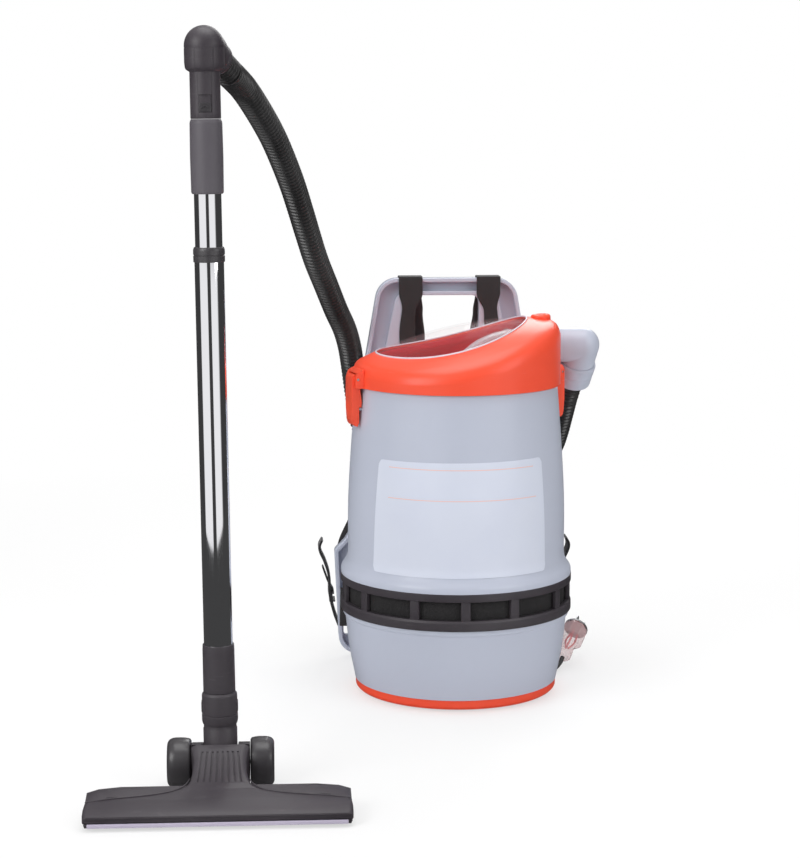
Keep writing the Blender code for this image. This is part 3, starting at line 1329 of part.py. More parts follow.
def make_wand(wand):
    """The pieces below the telescopic joint; the wand's empty is at floor level."""
    top = NECK_Z + NECK_LENGTH
    piece(turned("neck_sleeve", [
        (NECK_RADIUS - 0.0005, top),
        (NECK_RADIUS, NECK_Z + SEAM),
        (SPIGOT_RADIUS, NECK_Z + SEAM),
        (SPIGOT_RADIUS, NECK_Z - SPIGOT_LENGTH),
        (SPIGOT_RADIUS - 0.002, NECK_Z - SPIGOT_LENGTH),
        (SPIGOT_RADIUS - 0.002, LOWER_TUBE_Z - SEAM),
        (LOWER_TUBE_RADIUS + SEAM, LOWER_TUBE_Z - SEAM),
        (LOWER_TUBE_RADIUS + SEAM, top),
    ], TUBE_SIDES), BLACK, wand)
    piece(turned("lower_tube", [
        (LOWER_TUBE_RADIUS, LOWER_TUBE_TOP),
        (LOWER_TUBE_RADIUS, LOWER_TUBE_Z),
        (LOWER_TUBE_RADIUS - TUBE_WALL, LOWER_TUBE_Z),
        (LOWER_TUBE_RADIUS - TUBE_WALL, LOWER_TUBE_TOP),
    ], TUBE_SIDES), CHROME, wand)
    collar = wand_empty("collar_pivot", COLLAR_TOP, wand)
    piece(turned("tube_collar", [
        (COLLAR_RADIUS - 0.001, 0.0),
        (COLLAR_RADIUS, -0.003),
        (COLLAR_RADIUS, -COLLAR_LENGTH),
        (LOWER_TUBE_RADIUS + SEAM, -COLLAR_LENGTH),
        (LOWER_TUBE_RADIUS + SEAM, -0.003),
        (UPPER_TUBE_RADIUS + SEAM, -0.003),
        (UPPER_TUBE_RADIUS + SEAM, 0.0),
    ], TUBE_SIDES), GLOSS, collar)


def make_handle(wand):
    """The pieces that the telescopic joint carries; their empty is at the grip's lower edge."""
    handle = wand_empty("telescope_pivot", GRIP_Z, wand)
    tube_top = GRIP_LENGTH - 0.010
    piece(turned("upper_tube", [
        (UPPER_TUBE_RADIUS, tube_top),
        (UPPER_TUBE_RADIUS, tube_top - UPPER_TUBE_LENGTH),
        (UPPER_TUBE_RADIUS - TUBE_WALL, tube_top - UPPER_TUBE_LENGTH),
        (UPPER_TUBE_RADIUS - TUBE_WALL, tube_top),
    ], TUBE_SIDES), CHROME, handle)
    socket = UPPER_TUBE_RADIUS + SEAM
    piece(turned("grip_sleeve", [
        (GRIP_RADIUS - 0.0015, GRIP_LENGTH - SEAM),
        (GRIP_RADIUS, GRIP_LENGTH - 0.004),
        (GRIP_RADIUS + 0.0004, GRIP_LENGTH * 0.5),
        (GRIP_RADIUS, 0.002),
        (GRIP_RADIUS - 0.001, 0.0),
        (socket, 0.0),
        (socket, GRIP_LENGTH - SEAM),
    ], TUBE_SIDES), GRIP, handle)

    skirt_z, dome_z = SKIRT_Z - GRIP_Z, DOME_Z - GRIP_Z
    way = Matrix.Rotation(WAND_LEAN, 3, "Y") @ OUTLET_WAY
    dome = Vector((0, 0, dome_z))
    body = turned("handle_body", [
        (0, dome_z + 0.0015),
        (SKIRT_RADIUS, dome_z + 0.0015),
        (SKIRT_RADIUS, skirt_z + 0.009),
        (SKIRT_RADIUS - 0.0015, skirt_z + 0.003),
        (HANDLE_RADIUS + 0.0005, skirt_z),
        (HANDLE_RADIUS, GRIP_LENGTH),
        (0, GRIP_LENGTH),
    ], TUBE_SIDES)
    cap = guide(ball("handle_dome", dome, SKIRT_RADIUS - 0.0004), handle)
    outlet = guide(rod("handle_outlet", dome + way * 0.002, dome + way * (OUTLET_REACH - SEAM),
                       OUTLET_RADIUS), handle)
    join(body, cap, outlet)
    bore = guide(rod("handle_bore", (0, 0, GRIP_LENGTH - 0.01), dome, HANDLE_RADIUS - 0.0035),
                 handle)
    dome_bore = guide(ball("dome_bore", dome, SKIRT_RADIUS - 0.0043), handle)
    outlet_bore = guide(rod("outlet_bore", dome, dome + way * (OUTLET_REACH + 0.01),
                            OUTLET_RADIUS - 0.0035), handle)
    slider_z = GRIP_LENGTH + 0.0175
    travel = SLIDER_HEIGHT + SLIDER_TRAVEL
    pocket = guide(block("slider_pocket", (SLIDER_WIDTH + 2 * SEAM, 0.008, travel + 2 * SEAM),
                         (0, -HANDLE_RADIUS, slider_z)), handle)
    port = guide(block("bleed_port", (0.006, 0.02, 0.005),
                       (0, -HANDLE_RADIUS, slider_z + travel / 2 - 0.004)), handle)
    piece(cut(body, bore, dome_bore, outlet_bore, pocket, port), BLACK, handle)
    pivot = empty("slider_pivot", (0, -HANDLE_RADIUS + 0.004 - SEAM,
                                   slider_z - SLIDER_TRAVEL / 2), None, handle)
    slider = block("bleed_slider", (SLIDER_WIDTH, 0.0025, SLIDER_HEIGHT), (0, -0.00125, 0))
    ridge = guide(block("slider_ridge", (SLIDER_WIDTH * 0.6, 0.004, 0.003), (0, -0.002, 0)), pivot)
    piece(join(slider, ridge), GLOSS, pivot)

    swivel = empty("hose_cuff_pivot", dome + way * OUTLET_REACH,
                   way.to_track_quat("Z", "Y").to_euler(), handle)
    piece(turned("hose_cuff", [
        (HOSE_BORE, 0.0),
        (HOSE_BORE, HOSE_CUFF_LENGTH),
        (HOSE_CUFF_RADIUS - 0.0015, HOSE_CUFF_LENGTH),
        (HOSE_CUFF_RADIUS, HOSE_CUFF_LENGTH - 0.004),
        (HOSE_CUFF_RADIUS, 0.002),
        (HOSE_CUFF_RADIUS - 0.0015, 0.0),
    ], TUBE_SIDES), BLACK, swivel)


# ---------------------------------------------------------------- floor tool


def tool_section(y, half, low, high, shoulder, chamfer, grow=0.0):
    """A cross-section of the cover at one y, whose top corners are cut back."""
    half, low, high = half + grow, low - grow, high + grow
    return [Vector((u, y, v)) for u, v in (
        (-half, low), (-half, high - shoulder), (-half + chamfer * 0.35, high - shoulder * 0.35),
        (-half + chamfer, high), (half - chamfer, high),
        (half - chamfer * 0.35, high - shoulder * 0.35), (half, high - shoulder), (half, low))]


def cover_sections(grow=0.0, low=COVER_BOTTOM):
    """From the housing's front, sweeping out to the full width and down to the front edge."""
    stations = [
        (-0.0235, CHEEK_HALF, 0.0590, 0.004),
        (-0.0290, CHEEK_HALF - 0.002, 0.0560, 0.004),
        (-0.0420, CHEEK_HALF - 0.004, 0.0485, 0.004),
        (-0.0600, CHEEK_HALF - 0.003, 0.0405, 0.004),
        (-0.0780, CHEEK_HALF - 0.0005, 0.0350, 0.004),
        (-0.0900, CHEEK_HALF + 0.004, 0.0318, 0.0035),
        (-0.1000, CHEEK_HALF + 0.013, 0.0296, 0.003),
        (-0.1080, CHEEK_HALF + 0.029, 0.0280, 0.003),
        (-0.1145, CHEEK_HALF + 0.055, 0.0268, 0.003),
        (-0.1200, TOOL_HALF - 0.029, 0.0258, 0.003),
        (-0.1260, TOOL_HALF - 0.001, 0.0246, 0.003),
        (-0.1400, TOOL_HALF, 0.0222, 0.003),
        (-0.1520, TOOL_HALF, 0.0190, 0.003),
        (-TOOL_REACH, TOOL_HALF - 0.001, 0.0160, 0.003),
    ]
    first, last = stations[0][0] + grow, stations[-1][0] - grow
    ends = {0: first, len(stations) - 1: last}
    return [tool_section(WAND_Y + ends.get(i, y), half, low, high, shoulder, shoulder * 1.6, grow)
            for i, (y, half, high, shoulder) in enumerate(stations)]


def make_tool(head):
    """Pieces in world places; the head's empty sits on the wheel axle."""
    pivot = Vector((WAND_X, WAND_Y, WHEEL_RADIUS))

    def carry(obj, material):
        piece(obj, material, head)
        obj.location = Vector(obj.location) - pivot
        return obj

    def aside(obj):
        guide(obj, head)
        obj.location = Vector(obj.location) - pivot
        return obj

    def shifted(rings):
        return [[point + Vector((WAND_X, 0, 0)) for point in ring] for ring in rings]

    cover = loft("tool_cover", shifted(cover_sections()))
    back = WAND_Y + 0.026
    top = WHEEL_RADIUS + 0.0285
    for way in (1, -1):
        cheek = flat(f"cheek_{way}", [rounded([
            (WAND_Y - 0.0240, 0.009, 0.002), (back, 0.009, 0.012),
            (back, top - 0.010, 0.014), (WAND_Y - 0.0240, top, 0.003)])],
            CHEEK_HALF - SLOT_HALF, (WAND_X + way * (CHEEK_HALF + SLOT_HALF) / 2, 0, 0),
            (math.pi / 2, 0, math.pi / 2))
        join(cover, aside(cheek))
    hollow = [ring for ring in cover_sections(-0.0025, COVER_BOTTOM - 0.02) if
              ring[0].y < WAND_Y - 0.026]
    cut(cover, aside(loft("cover_hollow", shifted(hollow))))
    throat = block("throat", (0.026, 0.030, 0.022), (WAND_X, WAND_Y - 0.026, 0.024))
    axle_hole = rod("axle_hole", (WAND_X - 0.05, WAND_Y, WHEEL_RADIUS),
                    (WAND_X + 0.05, WAND_Y, WHEEL_RADIUS), AXLE_RADIUS + SEAM, sides=PIN_SIDES)
    cut(cover, aside(throat), aside(axle_hole))
    ridge = [(-0.0330, 0.0537), (-0.0420, 0.0485), (-0.0600, 0.0405), (-0.0780, 0.0350),
             (-0.0860, 0.0329)]
    for k in range(8):
        spread = k - 3.5
        rings = []
        for i, (y, z) in enumerate(ridge):
            x = WAND_X + spread * (0.0060 + 0.0003 * i)
            rings.append([Vector((x + u, WAND_Y + y, z + v)) for u, v in (
                (-0.0012, -0.0016), (0.0012, -0.0016), (0.0012, 0.006), (-0.0012, 0.006))])
        cut(cover, aside(loft(f"cover_slot_{k}", rings)))
    carry(cover, BLACK)

    deck_half = TOOL_HALF - 0.001
    deck = loft("tool_base", shifted([
        tool_section(TOOL_BACK, deck_half, SOLE_BOTTOM, 0.0295, 0.0065, 0.040),
        tool_section(TOOL_BACK - 0.005, deck_half, SOLE_BOTTOM, 0.0312, 0.0065, 0.040),
        tool_section(TOOL_BACK - 0.040, deck_half, SOLE_BOTTOM, 0.0235, 0.0035, 0.030),
        tool_section(TOOL_FRONT + 0.010, deck_half, SOLE_BOTTOM, 0.0140, 0.0015, 0.010),
        tool_section(TOOL_FRONT + 0.0005, deck_half - 0.002, SOLE_BOTTOM, 0.0082, 0.001, 0.002),
    ]))
    envelope = aside(loft("cover_envelope", shifted(cover_sections(SEAM))))
    slot = block("suction_slot", (2 * SUCTION_HALF, 0.018, 0.06),
                 (WAND_X, TOOL_FRONT + 0.033, 0.01))
    throat_way = block("throat_way", (0.030, 0.050, 0.03),
                       (WAND_X, TOOL_FRONT + 0.060, 0.0222))
    cut(deck, envelope, aside(slot), aside(throat_way))
    grooves = []
    for name, y in (("brush_front", TOOL_FRONT + 0.010), ("brush_rear", TOOL_FRONT + 0.054)):
        width = TOOL_HALF - 0.010
        grooves.append(aside(block(f"{name}_groove", (2 * width + 2 * SEAM,
                                                      BRUSH_WIDTH + 2 * SEAM, 0.0062),
                                   (WAND_X, y, SOLE_BOTTOM + 0.0010 - SEAM))))
        brush = block(name, (2 * width, BRUSH_WIDTH, SOLE_BOTTOM + 0.0035),
                      (WAND_X, y, (SOLE_BOTTOM + 0.0035) / 2))
        carry(brush, BRISTLE)
    cut(deck, *grooves)
    carry(deck, BLACK)
    bumper = block("bumper_strip", (2 * TOOL_HALF - 0.012, BUMPER_DEPTH, 0.0045),
                   (WAND_X, TOOL_FRONT - BUMPER_DEPTH / 2 - SEAM, SOLE_BOTTOM + 0.0030))
    carry(bumper, PALE)

    for way, side in ((-1, "left"), (1, "right")):
        inner = WAND_X + way * (SLOT_HALF - 0.0070)
        outer = WAND_X + way * (WHEEL_X + WHEEL_WIDTH - 0.002)
        carry(rod(f"axle_{side}", (inner, WAND_Y, WHEEL_RADIUS), (outer, WAND_Y, WHEEL_RADIUS),
                  AXLE_RADIUS, sides=PIN_SIDES), STEEL)
        hub = empty(f"wheel_{side}_pivot", (way * WHEEL_X, 0, 0),
                    (0, way * math.pi / 2, 0), head)
        bore = AXLE_RADIUS + RUNNING_GAP / 2
        wheel = turned(f"wheel_{side}", [
            (bore, WHEEL_WIDTH - 0.004),
            (WHEEL_RADIUS * 0.62, WHEEL_WIDTH - 0.004),
            (WHEEL_RADIUS * 0.70, WHEEL_WIDTH),
            (WHEEL_RADIUS * 0.86, WHEEL_WIDTH - 0.0012),
            (WHEEL_RADIUS * 0.96, WHEEL_WIDTH - 0.0050),
            (WHEEL_RADIUS, WHEEL_WIDTH * 0.60),
            (WHEEL_RADIUS, WHEEL_WIDTH * 0.18),
            (WHEEL_RADIUS * 0.93, 0.0012),
            (WHEEL_RADIUS * 0.88, 0.0),
            (bore, 0.0),
        ], 20)
        piece(wheel, GLOSS, hub)


def make_neck(wand):
    swivel = wand_empty("neck_pivot", SWIVEL_Z, wand)
    bore = SPIGOT_RADIUS + SEAM
    collar_top = NECK_Z - SWIVEL_Z
    shelf = collar_top - SPIGOT_LENGTH - RUNNING_GAP
    piece(turned("swivel_collar", [
        (SWIVEL_RADIUS - 0.0025, collar_top),
        (SWIVEL_RADIUS - 0.0005, collar_top - 0.003),
        (SWIVEL_RADIUS, 0.004),
        (SWIVEL_RADIUS - 0.001, 0.0),
        (bore - 0.003, 0.0),
        (bore - 0.003, shelf),
        (bore, shelf),
        (bore, collar_top),
    ], TUBE_SIDES), BLACK, swivel)
    axle = WHEEL_RADIUS - SWIVEL_Z
    half = SLOT_HALF - 0.0006
    yoke = rod("neck_yoke", (0, 0, axle), (0, 0, -SEAM), YOKE_TUBE_RADIUS)
    barrel = guide(rod("yoke_barrel", (-half, 0, axle), (half, 0, axle), BARREL_RADIUS), swivel)
    bore_down = guide(rod("yoke_bore", (0, 0, axle), (0, 0, 0.01), bore - 0.003), swivel)
    bore_out = guide(rod("yoke_throat", (0, 0, axle), (0, -0.03, axle - 0.004), 0.0105), swivel)
    holes = [guide(rod(f"yoke_pin_hole_{way}", (way * (SLOT_HALF - 0.0075), 0, axle),
                       (way * 0.03, 0, axle), AXLE_RADIUS + RUNNING_GAP / 2, sides=PIN_SIDES),
                   swivel) for way in (-1, 1)]
    piece(cut(join(yoke, barrel), bore_down, bore_out, *holes), BLACK, swivel)
    return empty("head_pivot", (0, 0, axle), (0, WAND_LEAN, 0), swivel)


make_base()
make_lower_shell()
make_exhaust_ring()
make_drum_shell()
make_motor()
make_filter_bag()
lid_pivot = empty("lid_pivot", (0, 0, 0))
make_lid(lid_pivot)
make_elbow(lid_pivot)
make_latches(lid_pivot)
make_frame()
make_brackets()
make_pads()
make_straps()
make_switch()
make_lead()
make_hose()
wand_base = empty("wand_base", (WAND_X, WAND_Y, WHEEL_RADIUS), (0, -WAND_LEAN, 0))
wand_floor = wand_empty("wand_floor", -WHEEL_RADIUS, wand_base)
make_wand(wand_floor)
make_handle(wand_floor)
make_tool(make_neck(wand_floor))
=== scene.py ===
import json
import math

import bmesh
import bpy
from mathutils import Matrix, Vector
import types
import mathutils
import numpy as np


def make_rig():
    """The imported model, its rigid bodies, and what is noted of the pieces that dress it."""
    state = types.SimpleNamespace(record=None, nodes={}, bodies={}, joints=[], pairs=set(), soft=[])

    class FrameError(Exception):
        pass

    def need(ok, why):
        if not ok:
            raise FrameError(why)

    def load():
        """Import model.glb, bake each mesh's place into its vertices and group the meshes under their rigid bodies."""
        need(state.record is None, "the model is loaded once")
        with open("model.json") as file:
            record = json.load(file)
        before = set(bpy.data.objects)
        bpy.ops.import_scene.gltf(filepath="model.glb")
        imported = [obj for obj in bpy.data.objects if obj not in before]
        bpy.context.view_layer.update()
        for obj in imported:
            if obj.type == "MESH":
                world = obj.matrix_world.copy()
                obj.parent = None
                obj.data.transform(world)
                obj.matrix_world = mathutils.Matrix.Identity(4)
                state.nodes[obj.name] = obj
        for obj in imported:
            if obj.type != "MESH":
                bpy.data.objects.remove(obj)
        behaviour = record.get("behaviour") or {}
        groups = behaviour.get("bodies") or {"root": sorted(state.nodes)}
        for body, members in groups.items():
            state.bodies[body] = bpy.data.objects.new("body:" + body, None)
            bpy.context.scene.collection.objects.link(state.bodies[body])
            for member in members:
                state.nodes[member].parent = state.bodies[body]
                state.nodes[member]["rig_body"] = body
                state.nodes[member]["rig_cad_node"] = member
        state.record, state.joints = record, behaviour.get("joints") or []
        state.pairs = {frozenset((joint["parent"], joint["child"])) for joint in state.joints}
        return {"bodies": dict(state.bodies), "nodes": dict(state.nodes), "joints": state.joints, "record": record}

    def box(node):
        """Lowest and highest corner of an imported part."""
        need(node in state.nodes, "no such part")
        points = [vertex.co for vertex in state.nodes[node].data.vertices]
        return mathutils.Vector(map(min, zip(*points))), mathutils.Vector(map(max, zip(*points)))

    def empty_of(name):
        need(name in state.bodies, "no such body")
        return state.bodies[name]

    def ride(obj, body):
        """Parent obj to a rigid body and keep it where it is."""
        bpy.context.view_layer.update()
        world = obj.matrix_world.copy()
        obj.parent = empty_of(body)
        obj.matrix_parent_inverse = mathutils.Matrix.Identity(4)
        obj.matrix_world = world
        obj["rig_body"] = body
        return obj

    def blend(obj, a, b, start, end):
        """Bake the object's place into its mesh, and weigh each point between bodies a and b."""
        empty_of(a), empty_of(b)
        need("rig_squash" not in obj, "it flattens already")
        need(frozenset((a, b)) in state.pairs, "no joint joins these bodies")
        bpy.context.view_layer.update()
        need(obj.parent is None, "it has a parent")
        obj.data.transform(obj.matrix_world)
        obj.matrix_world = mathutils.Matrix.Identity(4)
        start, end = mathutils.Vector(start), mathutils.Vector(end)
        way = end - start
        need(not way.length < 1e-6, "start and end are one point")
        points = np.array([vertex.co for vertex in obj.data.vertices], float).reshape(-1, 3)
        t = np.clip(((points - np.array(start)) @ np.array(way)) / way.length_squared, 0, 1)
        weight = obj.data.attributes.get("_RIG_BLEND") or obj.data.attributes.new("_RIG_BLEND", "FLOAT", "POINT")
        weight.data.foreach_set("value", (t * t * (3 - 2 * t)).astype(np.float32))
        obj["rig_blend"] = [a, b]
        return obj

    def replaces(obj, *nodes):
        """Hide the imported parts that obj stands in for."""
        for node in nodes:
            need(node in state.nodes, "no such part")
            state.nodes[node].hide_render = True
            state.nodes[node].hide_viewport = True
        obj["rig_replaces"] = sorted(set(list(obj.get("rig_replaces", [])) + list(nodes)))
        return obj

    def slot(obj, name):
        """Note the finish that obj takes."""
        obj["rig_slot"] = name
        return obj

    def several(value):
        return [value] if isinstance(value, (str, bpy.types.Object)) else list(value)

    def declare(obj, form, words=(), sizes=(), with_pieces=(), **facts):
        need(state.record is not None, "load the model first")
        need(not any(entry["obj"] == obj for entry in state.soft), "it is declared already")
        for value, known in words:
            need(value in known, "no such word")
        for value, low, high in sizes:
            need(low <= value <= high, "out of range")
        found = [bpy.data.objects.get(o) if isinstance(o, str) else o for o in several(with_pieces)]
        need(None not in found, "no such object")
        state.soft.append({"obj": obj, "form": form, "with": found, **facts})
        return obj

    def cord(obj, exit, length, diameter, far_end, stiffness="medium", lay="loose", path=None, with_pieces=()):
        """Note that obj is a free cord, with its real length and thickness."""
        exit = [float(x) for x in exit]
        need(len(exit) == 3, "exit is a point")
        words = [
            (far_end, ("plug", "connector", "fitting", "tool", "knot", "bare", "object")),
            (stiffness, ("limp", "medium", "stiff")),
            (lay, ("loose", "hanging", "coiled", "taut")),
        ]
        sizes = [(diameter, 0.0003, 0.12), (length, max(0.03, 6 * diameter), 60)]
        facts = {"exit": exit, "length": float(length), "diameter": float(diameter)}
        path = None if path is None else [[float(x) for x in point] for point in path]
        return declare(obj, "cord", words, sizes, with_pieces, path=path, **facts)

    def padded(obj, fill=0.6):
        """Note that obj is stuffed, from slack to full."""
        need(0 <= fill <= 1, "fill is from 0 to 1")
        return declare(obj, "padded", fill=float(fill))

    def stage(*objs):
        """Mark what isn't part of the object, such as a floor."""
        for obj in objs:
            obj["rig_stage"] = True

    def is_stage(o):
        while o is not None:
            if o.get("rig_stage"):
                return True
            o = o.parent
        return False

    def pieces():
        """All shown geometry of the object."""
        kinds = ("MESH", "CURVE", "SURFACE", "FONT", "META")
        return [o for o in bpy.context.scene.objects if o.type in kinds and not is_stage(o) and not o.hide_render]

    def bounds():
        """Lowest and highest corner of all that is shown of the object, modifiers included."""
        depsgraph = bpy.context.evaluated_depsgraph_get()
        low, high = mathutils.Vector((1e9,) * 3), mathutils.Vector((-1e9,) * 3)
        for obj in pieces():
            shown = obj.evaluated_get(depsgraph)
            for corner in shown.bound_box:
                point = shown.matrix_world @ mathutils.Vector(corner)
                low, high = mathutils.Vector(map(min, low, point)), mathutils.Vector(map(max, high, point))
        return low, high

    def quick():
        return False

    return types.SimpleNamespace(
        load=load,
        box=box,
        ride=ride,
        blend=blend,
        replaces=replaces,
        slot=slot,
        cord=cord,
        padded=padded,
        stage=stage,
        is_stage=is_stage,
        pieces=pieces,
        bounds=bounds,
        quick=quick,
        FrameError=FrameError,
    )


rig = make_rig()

for old in list(bpy.data.objects):
    bpy.data.objects.remove(old, do_unlink=True)
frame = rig.load()
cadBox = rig.bounds()
nodes = frame["nodes"]
drumBody = "drum_and_harness"
scene = bpy.context.scene

# camera, at the photograph's place and angle

cameraView = {"place": (-0.255, -2.926, 0.807), "turn": 3.44, "down": 8.46, "lens": 88.7}


def addCamera():
    data = bpy.data.cameras.new("camera")
    data.lens = cameraView["lens"]
    data.sensor_width = 36
    camera = bpy.data.objects.new("camera", data)
    camera.location = cameraView["place"]
    camera.rotation_euler = (math.radians(90 - cameraView["down"]), 0,
                             math.radians(-cameraView["turn"]))
    scene.collection.objects.link(camera)
    scene.camera = camera


addCamera()

# small tools for shaders: a socket that takes part in sums, and a material being built


class Value:
    def __init__(self, tree, socket):
        self.tree = tree
        self.socket = socket

    def maths(self, operation, first, second=None):
        node = self.tree.nodes.new("ShaderNodeMath")
        node.operation = operation
        for place, item in enumerate((first, second)):
            if item is None:
                continue
            if isinstance(item, Value):
                self.tree.links.new(item.socket, node.inputs[place])
            else:
                node.inputs[place].default_value = item
        return Value(self.tree, node.outputs[0])

    def __add__(self, other):
        return self.maths("ADD", self, other)

    def __radd__(self, other):
        return self.maths("ADD", other, self)

    def __sub__(self, other):
        return self.maths("SUBTRACT", self, other)

    def __rsub__(self, other):
        return self.maths("SUBTRACT", other, self)

    def __mul__(self, other):
        return self.maths("MULTIPLY", self, other)

    def __rmul__(self, other):
        return self.maths("MULTIPLY", other, self)

    def __pow__(self, other):
        return self.maths("POWER", self, other)

    def __abs__(self):
        return self.maths("ABSOLUTE", self)

    def above(self, edge):
        return self.maths("GREATER_THAN", self, edge)

    def most(self, other):
        return self.maths("MAXIMUM", self, other)

    def wave(self):
        return self.maths("SINE", self)

    def held(self):
        return self.maths("MAXIMUM", self.maths("MINIMUM", self, 1.0), 0.0)


class Finish:
    def __init__(self, name, colour, roughness, metallic=0.0):
        self.material = bpy.data.materials.new(name)
        self.material.use_nodes = True
        self.tree = self.material.node_tree
        self.shader = self.tree.nodes["Principled BSDF"]
        self.shader.inputs["Base Color"].default_value = (*colour, 1)
        self.shader.inputs["Roughness"].default_value = roughness
        self.shader.inputs["Metallic"].default_value = metallic
        self.name = name

    def node(self, kind, settings=None, inputs=None, output=0):
        node = self.tree.nodes.new("ShaderNode" + kind)
        for key, item in (settings or {}).items():
            setattr(node, key, item)
        for key, item in (inputs or {}).items():
            if isinstance(item, Value):
                self.tree.links.new(item.socket, node.inputs[key])
            else:
                node.inputs[key].default_value = item
        return Value(self.tree, node.outputs[output])

    def place(self, scale=(1, 1, 1), turn=(0, 0, 0)):
        where = self.node("TexCoord", output="Object")
        return self.node("Mapping", {}, {"Vector": where, "Scale": scale, "Rotation": turn})

    def woven(self):
        # metres across and along a ribbon, which addRibbon stores on its points
        return self.node("Attribute", {"attribute_name": "weave"}, output="Vector")

    def grain(self, scale, detail=2.0, where=None):
        return self.node("TexNoise", {}, {"Vector": where or self.place(), "Scale": scale,
                                          "Detail": detail})

    def parts(self, vector):
        node = self.tree.nodes.new("ShaderNodeSeparateXYZ")
        self.tree.links.new(vector.socket, node.inputs[0])
        return [Value(self.tree, out) for out in node.outputs]

    def blended(self, share, first, second):
        node = self.tree.nodes.new("ShaderNodeMix")
        node.data_type = "RGBA"
        for place, item in ((0, share), (6, first), (7, second)):
            if isinstance(item, Value):
                self.tree.links.new(item.socket, node.inputs[place])
            else:
                node.inputs[place].default_value = item if place == 0 else (*item, 1)
        return Value(self.tree, node.outputs[2])

    def give(self, name, item):
        self.tree.links.new(item.socket, self.shader.inputs[name])
        return self

    def bump(self, height, strength, distance):
        normal = self.node("Bump", {}, {"Height": height, "Strength": strength,
                                        "Distance": distance})
        return self.give("Normal", normal)


def paler(colour, share):
    return tuple(c + (1 - c) * share for c in colour)


def darker(colour, share):
    return tuple(c * (1 - share) for c in colour)


def moulded(name, colour, roughness, grainScale=900, grainDepth=0.00004, uneven=0.05, coat=0.0,
            scuffs=0.5):
    finish = Finish(name, colour, roughness)
    cloud = finish.grain(7, 3)
    fine = finish.grain(grainScale, 2)
    streak = finish.grain(60, 4, finish.place((1.0, 1.0, 6.0), turn=(0.4, 0.3, 0)))
    scuff = ((streak - 0.62) * 8).held() * scuffs
    tone = finish.blended((cloud * 1.3 - 0.15).held(), darker(colour, uneven),
                          paler(colour, uneven * 0.5))
    worn = finish.blended(scuff * 0.10, tone, paler(colour, 0.35))
    finish.give("Base Color", worn)
    finish.give("Roughness", roughness + (cloud - 0.5) * 0.10 + scuff * 0.08 + fine * 0.03)
    finish.bump(fine, 0.35, grainDepth)
    if coat:
        finish.shader.inputs["Coat Weight"].default_value = coat
        finish.shader.inputs["Coat Roughness"].default_value = 0.12
    return finish


def metal(name, colour, roughness, brushed=(1, 1, 1), smudge=0.05):
    finish = Finish(name, colour, roughness, 1.0)
    cloud = finish.grain(9, 4)
    lines = finish.grain(220, 3, finish.place(brushed))
    finish.give("Roughness", (roughness + (cloud - 0.45).held() * smudge * 2
                              + (lines - 0.5) * smudge).held())
    finish.give("Base Color", finish.blended(cloud, darker(colour, 0.05), paler(colour, 0.15)))
    finish.bump(lines, 0.06, 0.00002)
    return finish


def webbing(name, colour, pitch=0.0016, sheen=0.25):
    finish = Finish(name, colour, 0.85)
    across, along, _ = finish.parts(finish.woven())
    turn = 2 * math.pi / pitch
    ribs = (across * turn).wave() * 0.5 + 0.5
    shifted = (across * turn * 0.5).wave().above(0.0) * math.pi
    picks = (along * turn * 0.8 + shifted).wave() * 0.5 + 0.5
    thread = (ribs * picks) ** 0.7
    fuzz = finish.grain(1800, 3)
    stain = finish.grain(14, 3)
    finish.give("Base Color", finish.blended((thread * 0.7 + fuzz * 0.3).held(),
                                             darker(colour, 0.6),
                                             paler(colour, 0.045)))
    finish.give("Roughness", 0.78 + stain * 0.16 - thread * 0.1)
    finish.bump(thread + fuzz * 0.35, 0.8, 0.0004)
    finish.shader.inputs["Sheen Weight"].default_value = sheen
    finish.shader.inputs["Sheen Roughness"].default_value = 0.4
    return finish


def padCloth(name, colour):
    finish = Finish(name, colour, 0.9)
    x, _, z = finish.parts(finish.place())
    turn = 2 * math.pi / 0.0026
    cells = ((x * turn).wave() * (z * turn).wave()) * 0.5 + 0.5
    fuzz = finish.grain(1500, 3)
    cloud = finish.grain(18, 3)
    finish.give("Base Color", finish.blended((cells * 0.6 + fuzz * 0.4).held(),
                                             darker(colour, 0.5), paler(colour, 0.04)))
    finish.give("Roughness", 0.82 + cloud * 0.14)
    finish.bump(cells + fuzz * 0.4, 0.7, 0.0005)
    finish.shader.inputs["Sheen Weight"].default_value = 0.3
    return finish


def clear(name, colour, alpha, edge, roughness=0.04):
    finish = Finish(name, colour, roughness)
    facing = finish.node("LayerWeight", {}, {"Blend": 0.45}, "Facing")
    cloud = finish.grain(11, 3)
    finish.give("Alpha", (alpha + facing * facing * edge + (cloud - 0.5) * 0.01).held())
    finish.give("Roughness", roughness + (cloud - 0.4).held() * 0.10)
    finish.shader.inputs["IOR"].default_value = 1.42
    finish.bump(finish.grain(40, 2), 0.05, 0.0002)
    return finish


def foamFinish(name, colour):
    finish = Finish(name, colour, 1.0)
    cells = finish.node("TexVoronoi", {}, {"Vector": finish.place(), "Scale": 900.0}, "Distance")
    finish.give("Base Color", finish.blended(cells.held(), darker(colour, 0.7),
                                             paler(colour, 0.03)))
    finish.give("Roughness", 0.9 + cells * 0.1)
    finish.bump(cells, 0.4, 0.0005)
    return finish


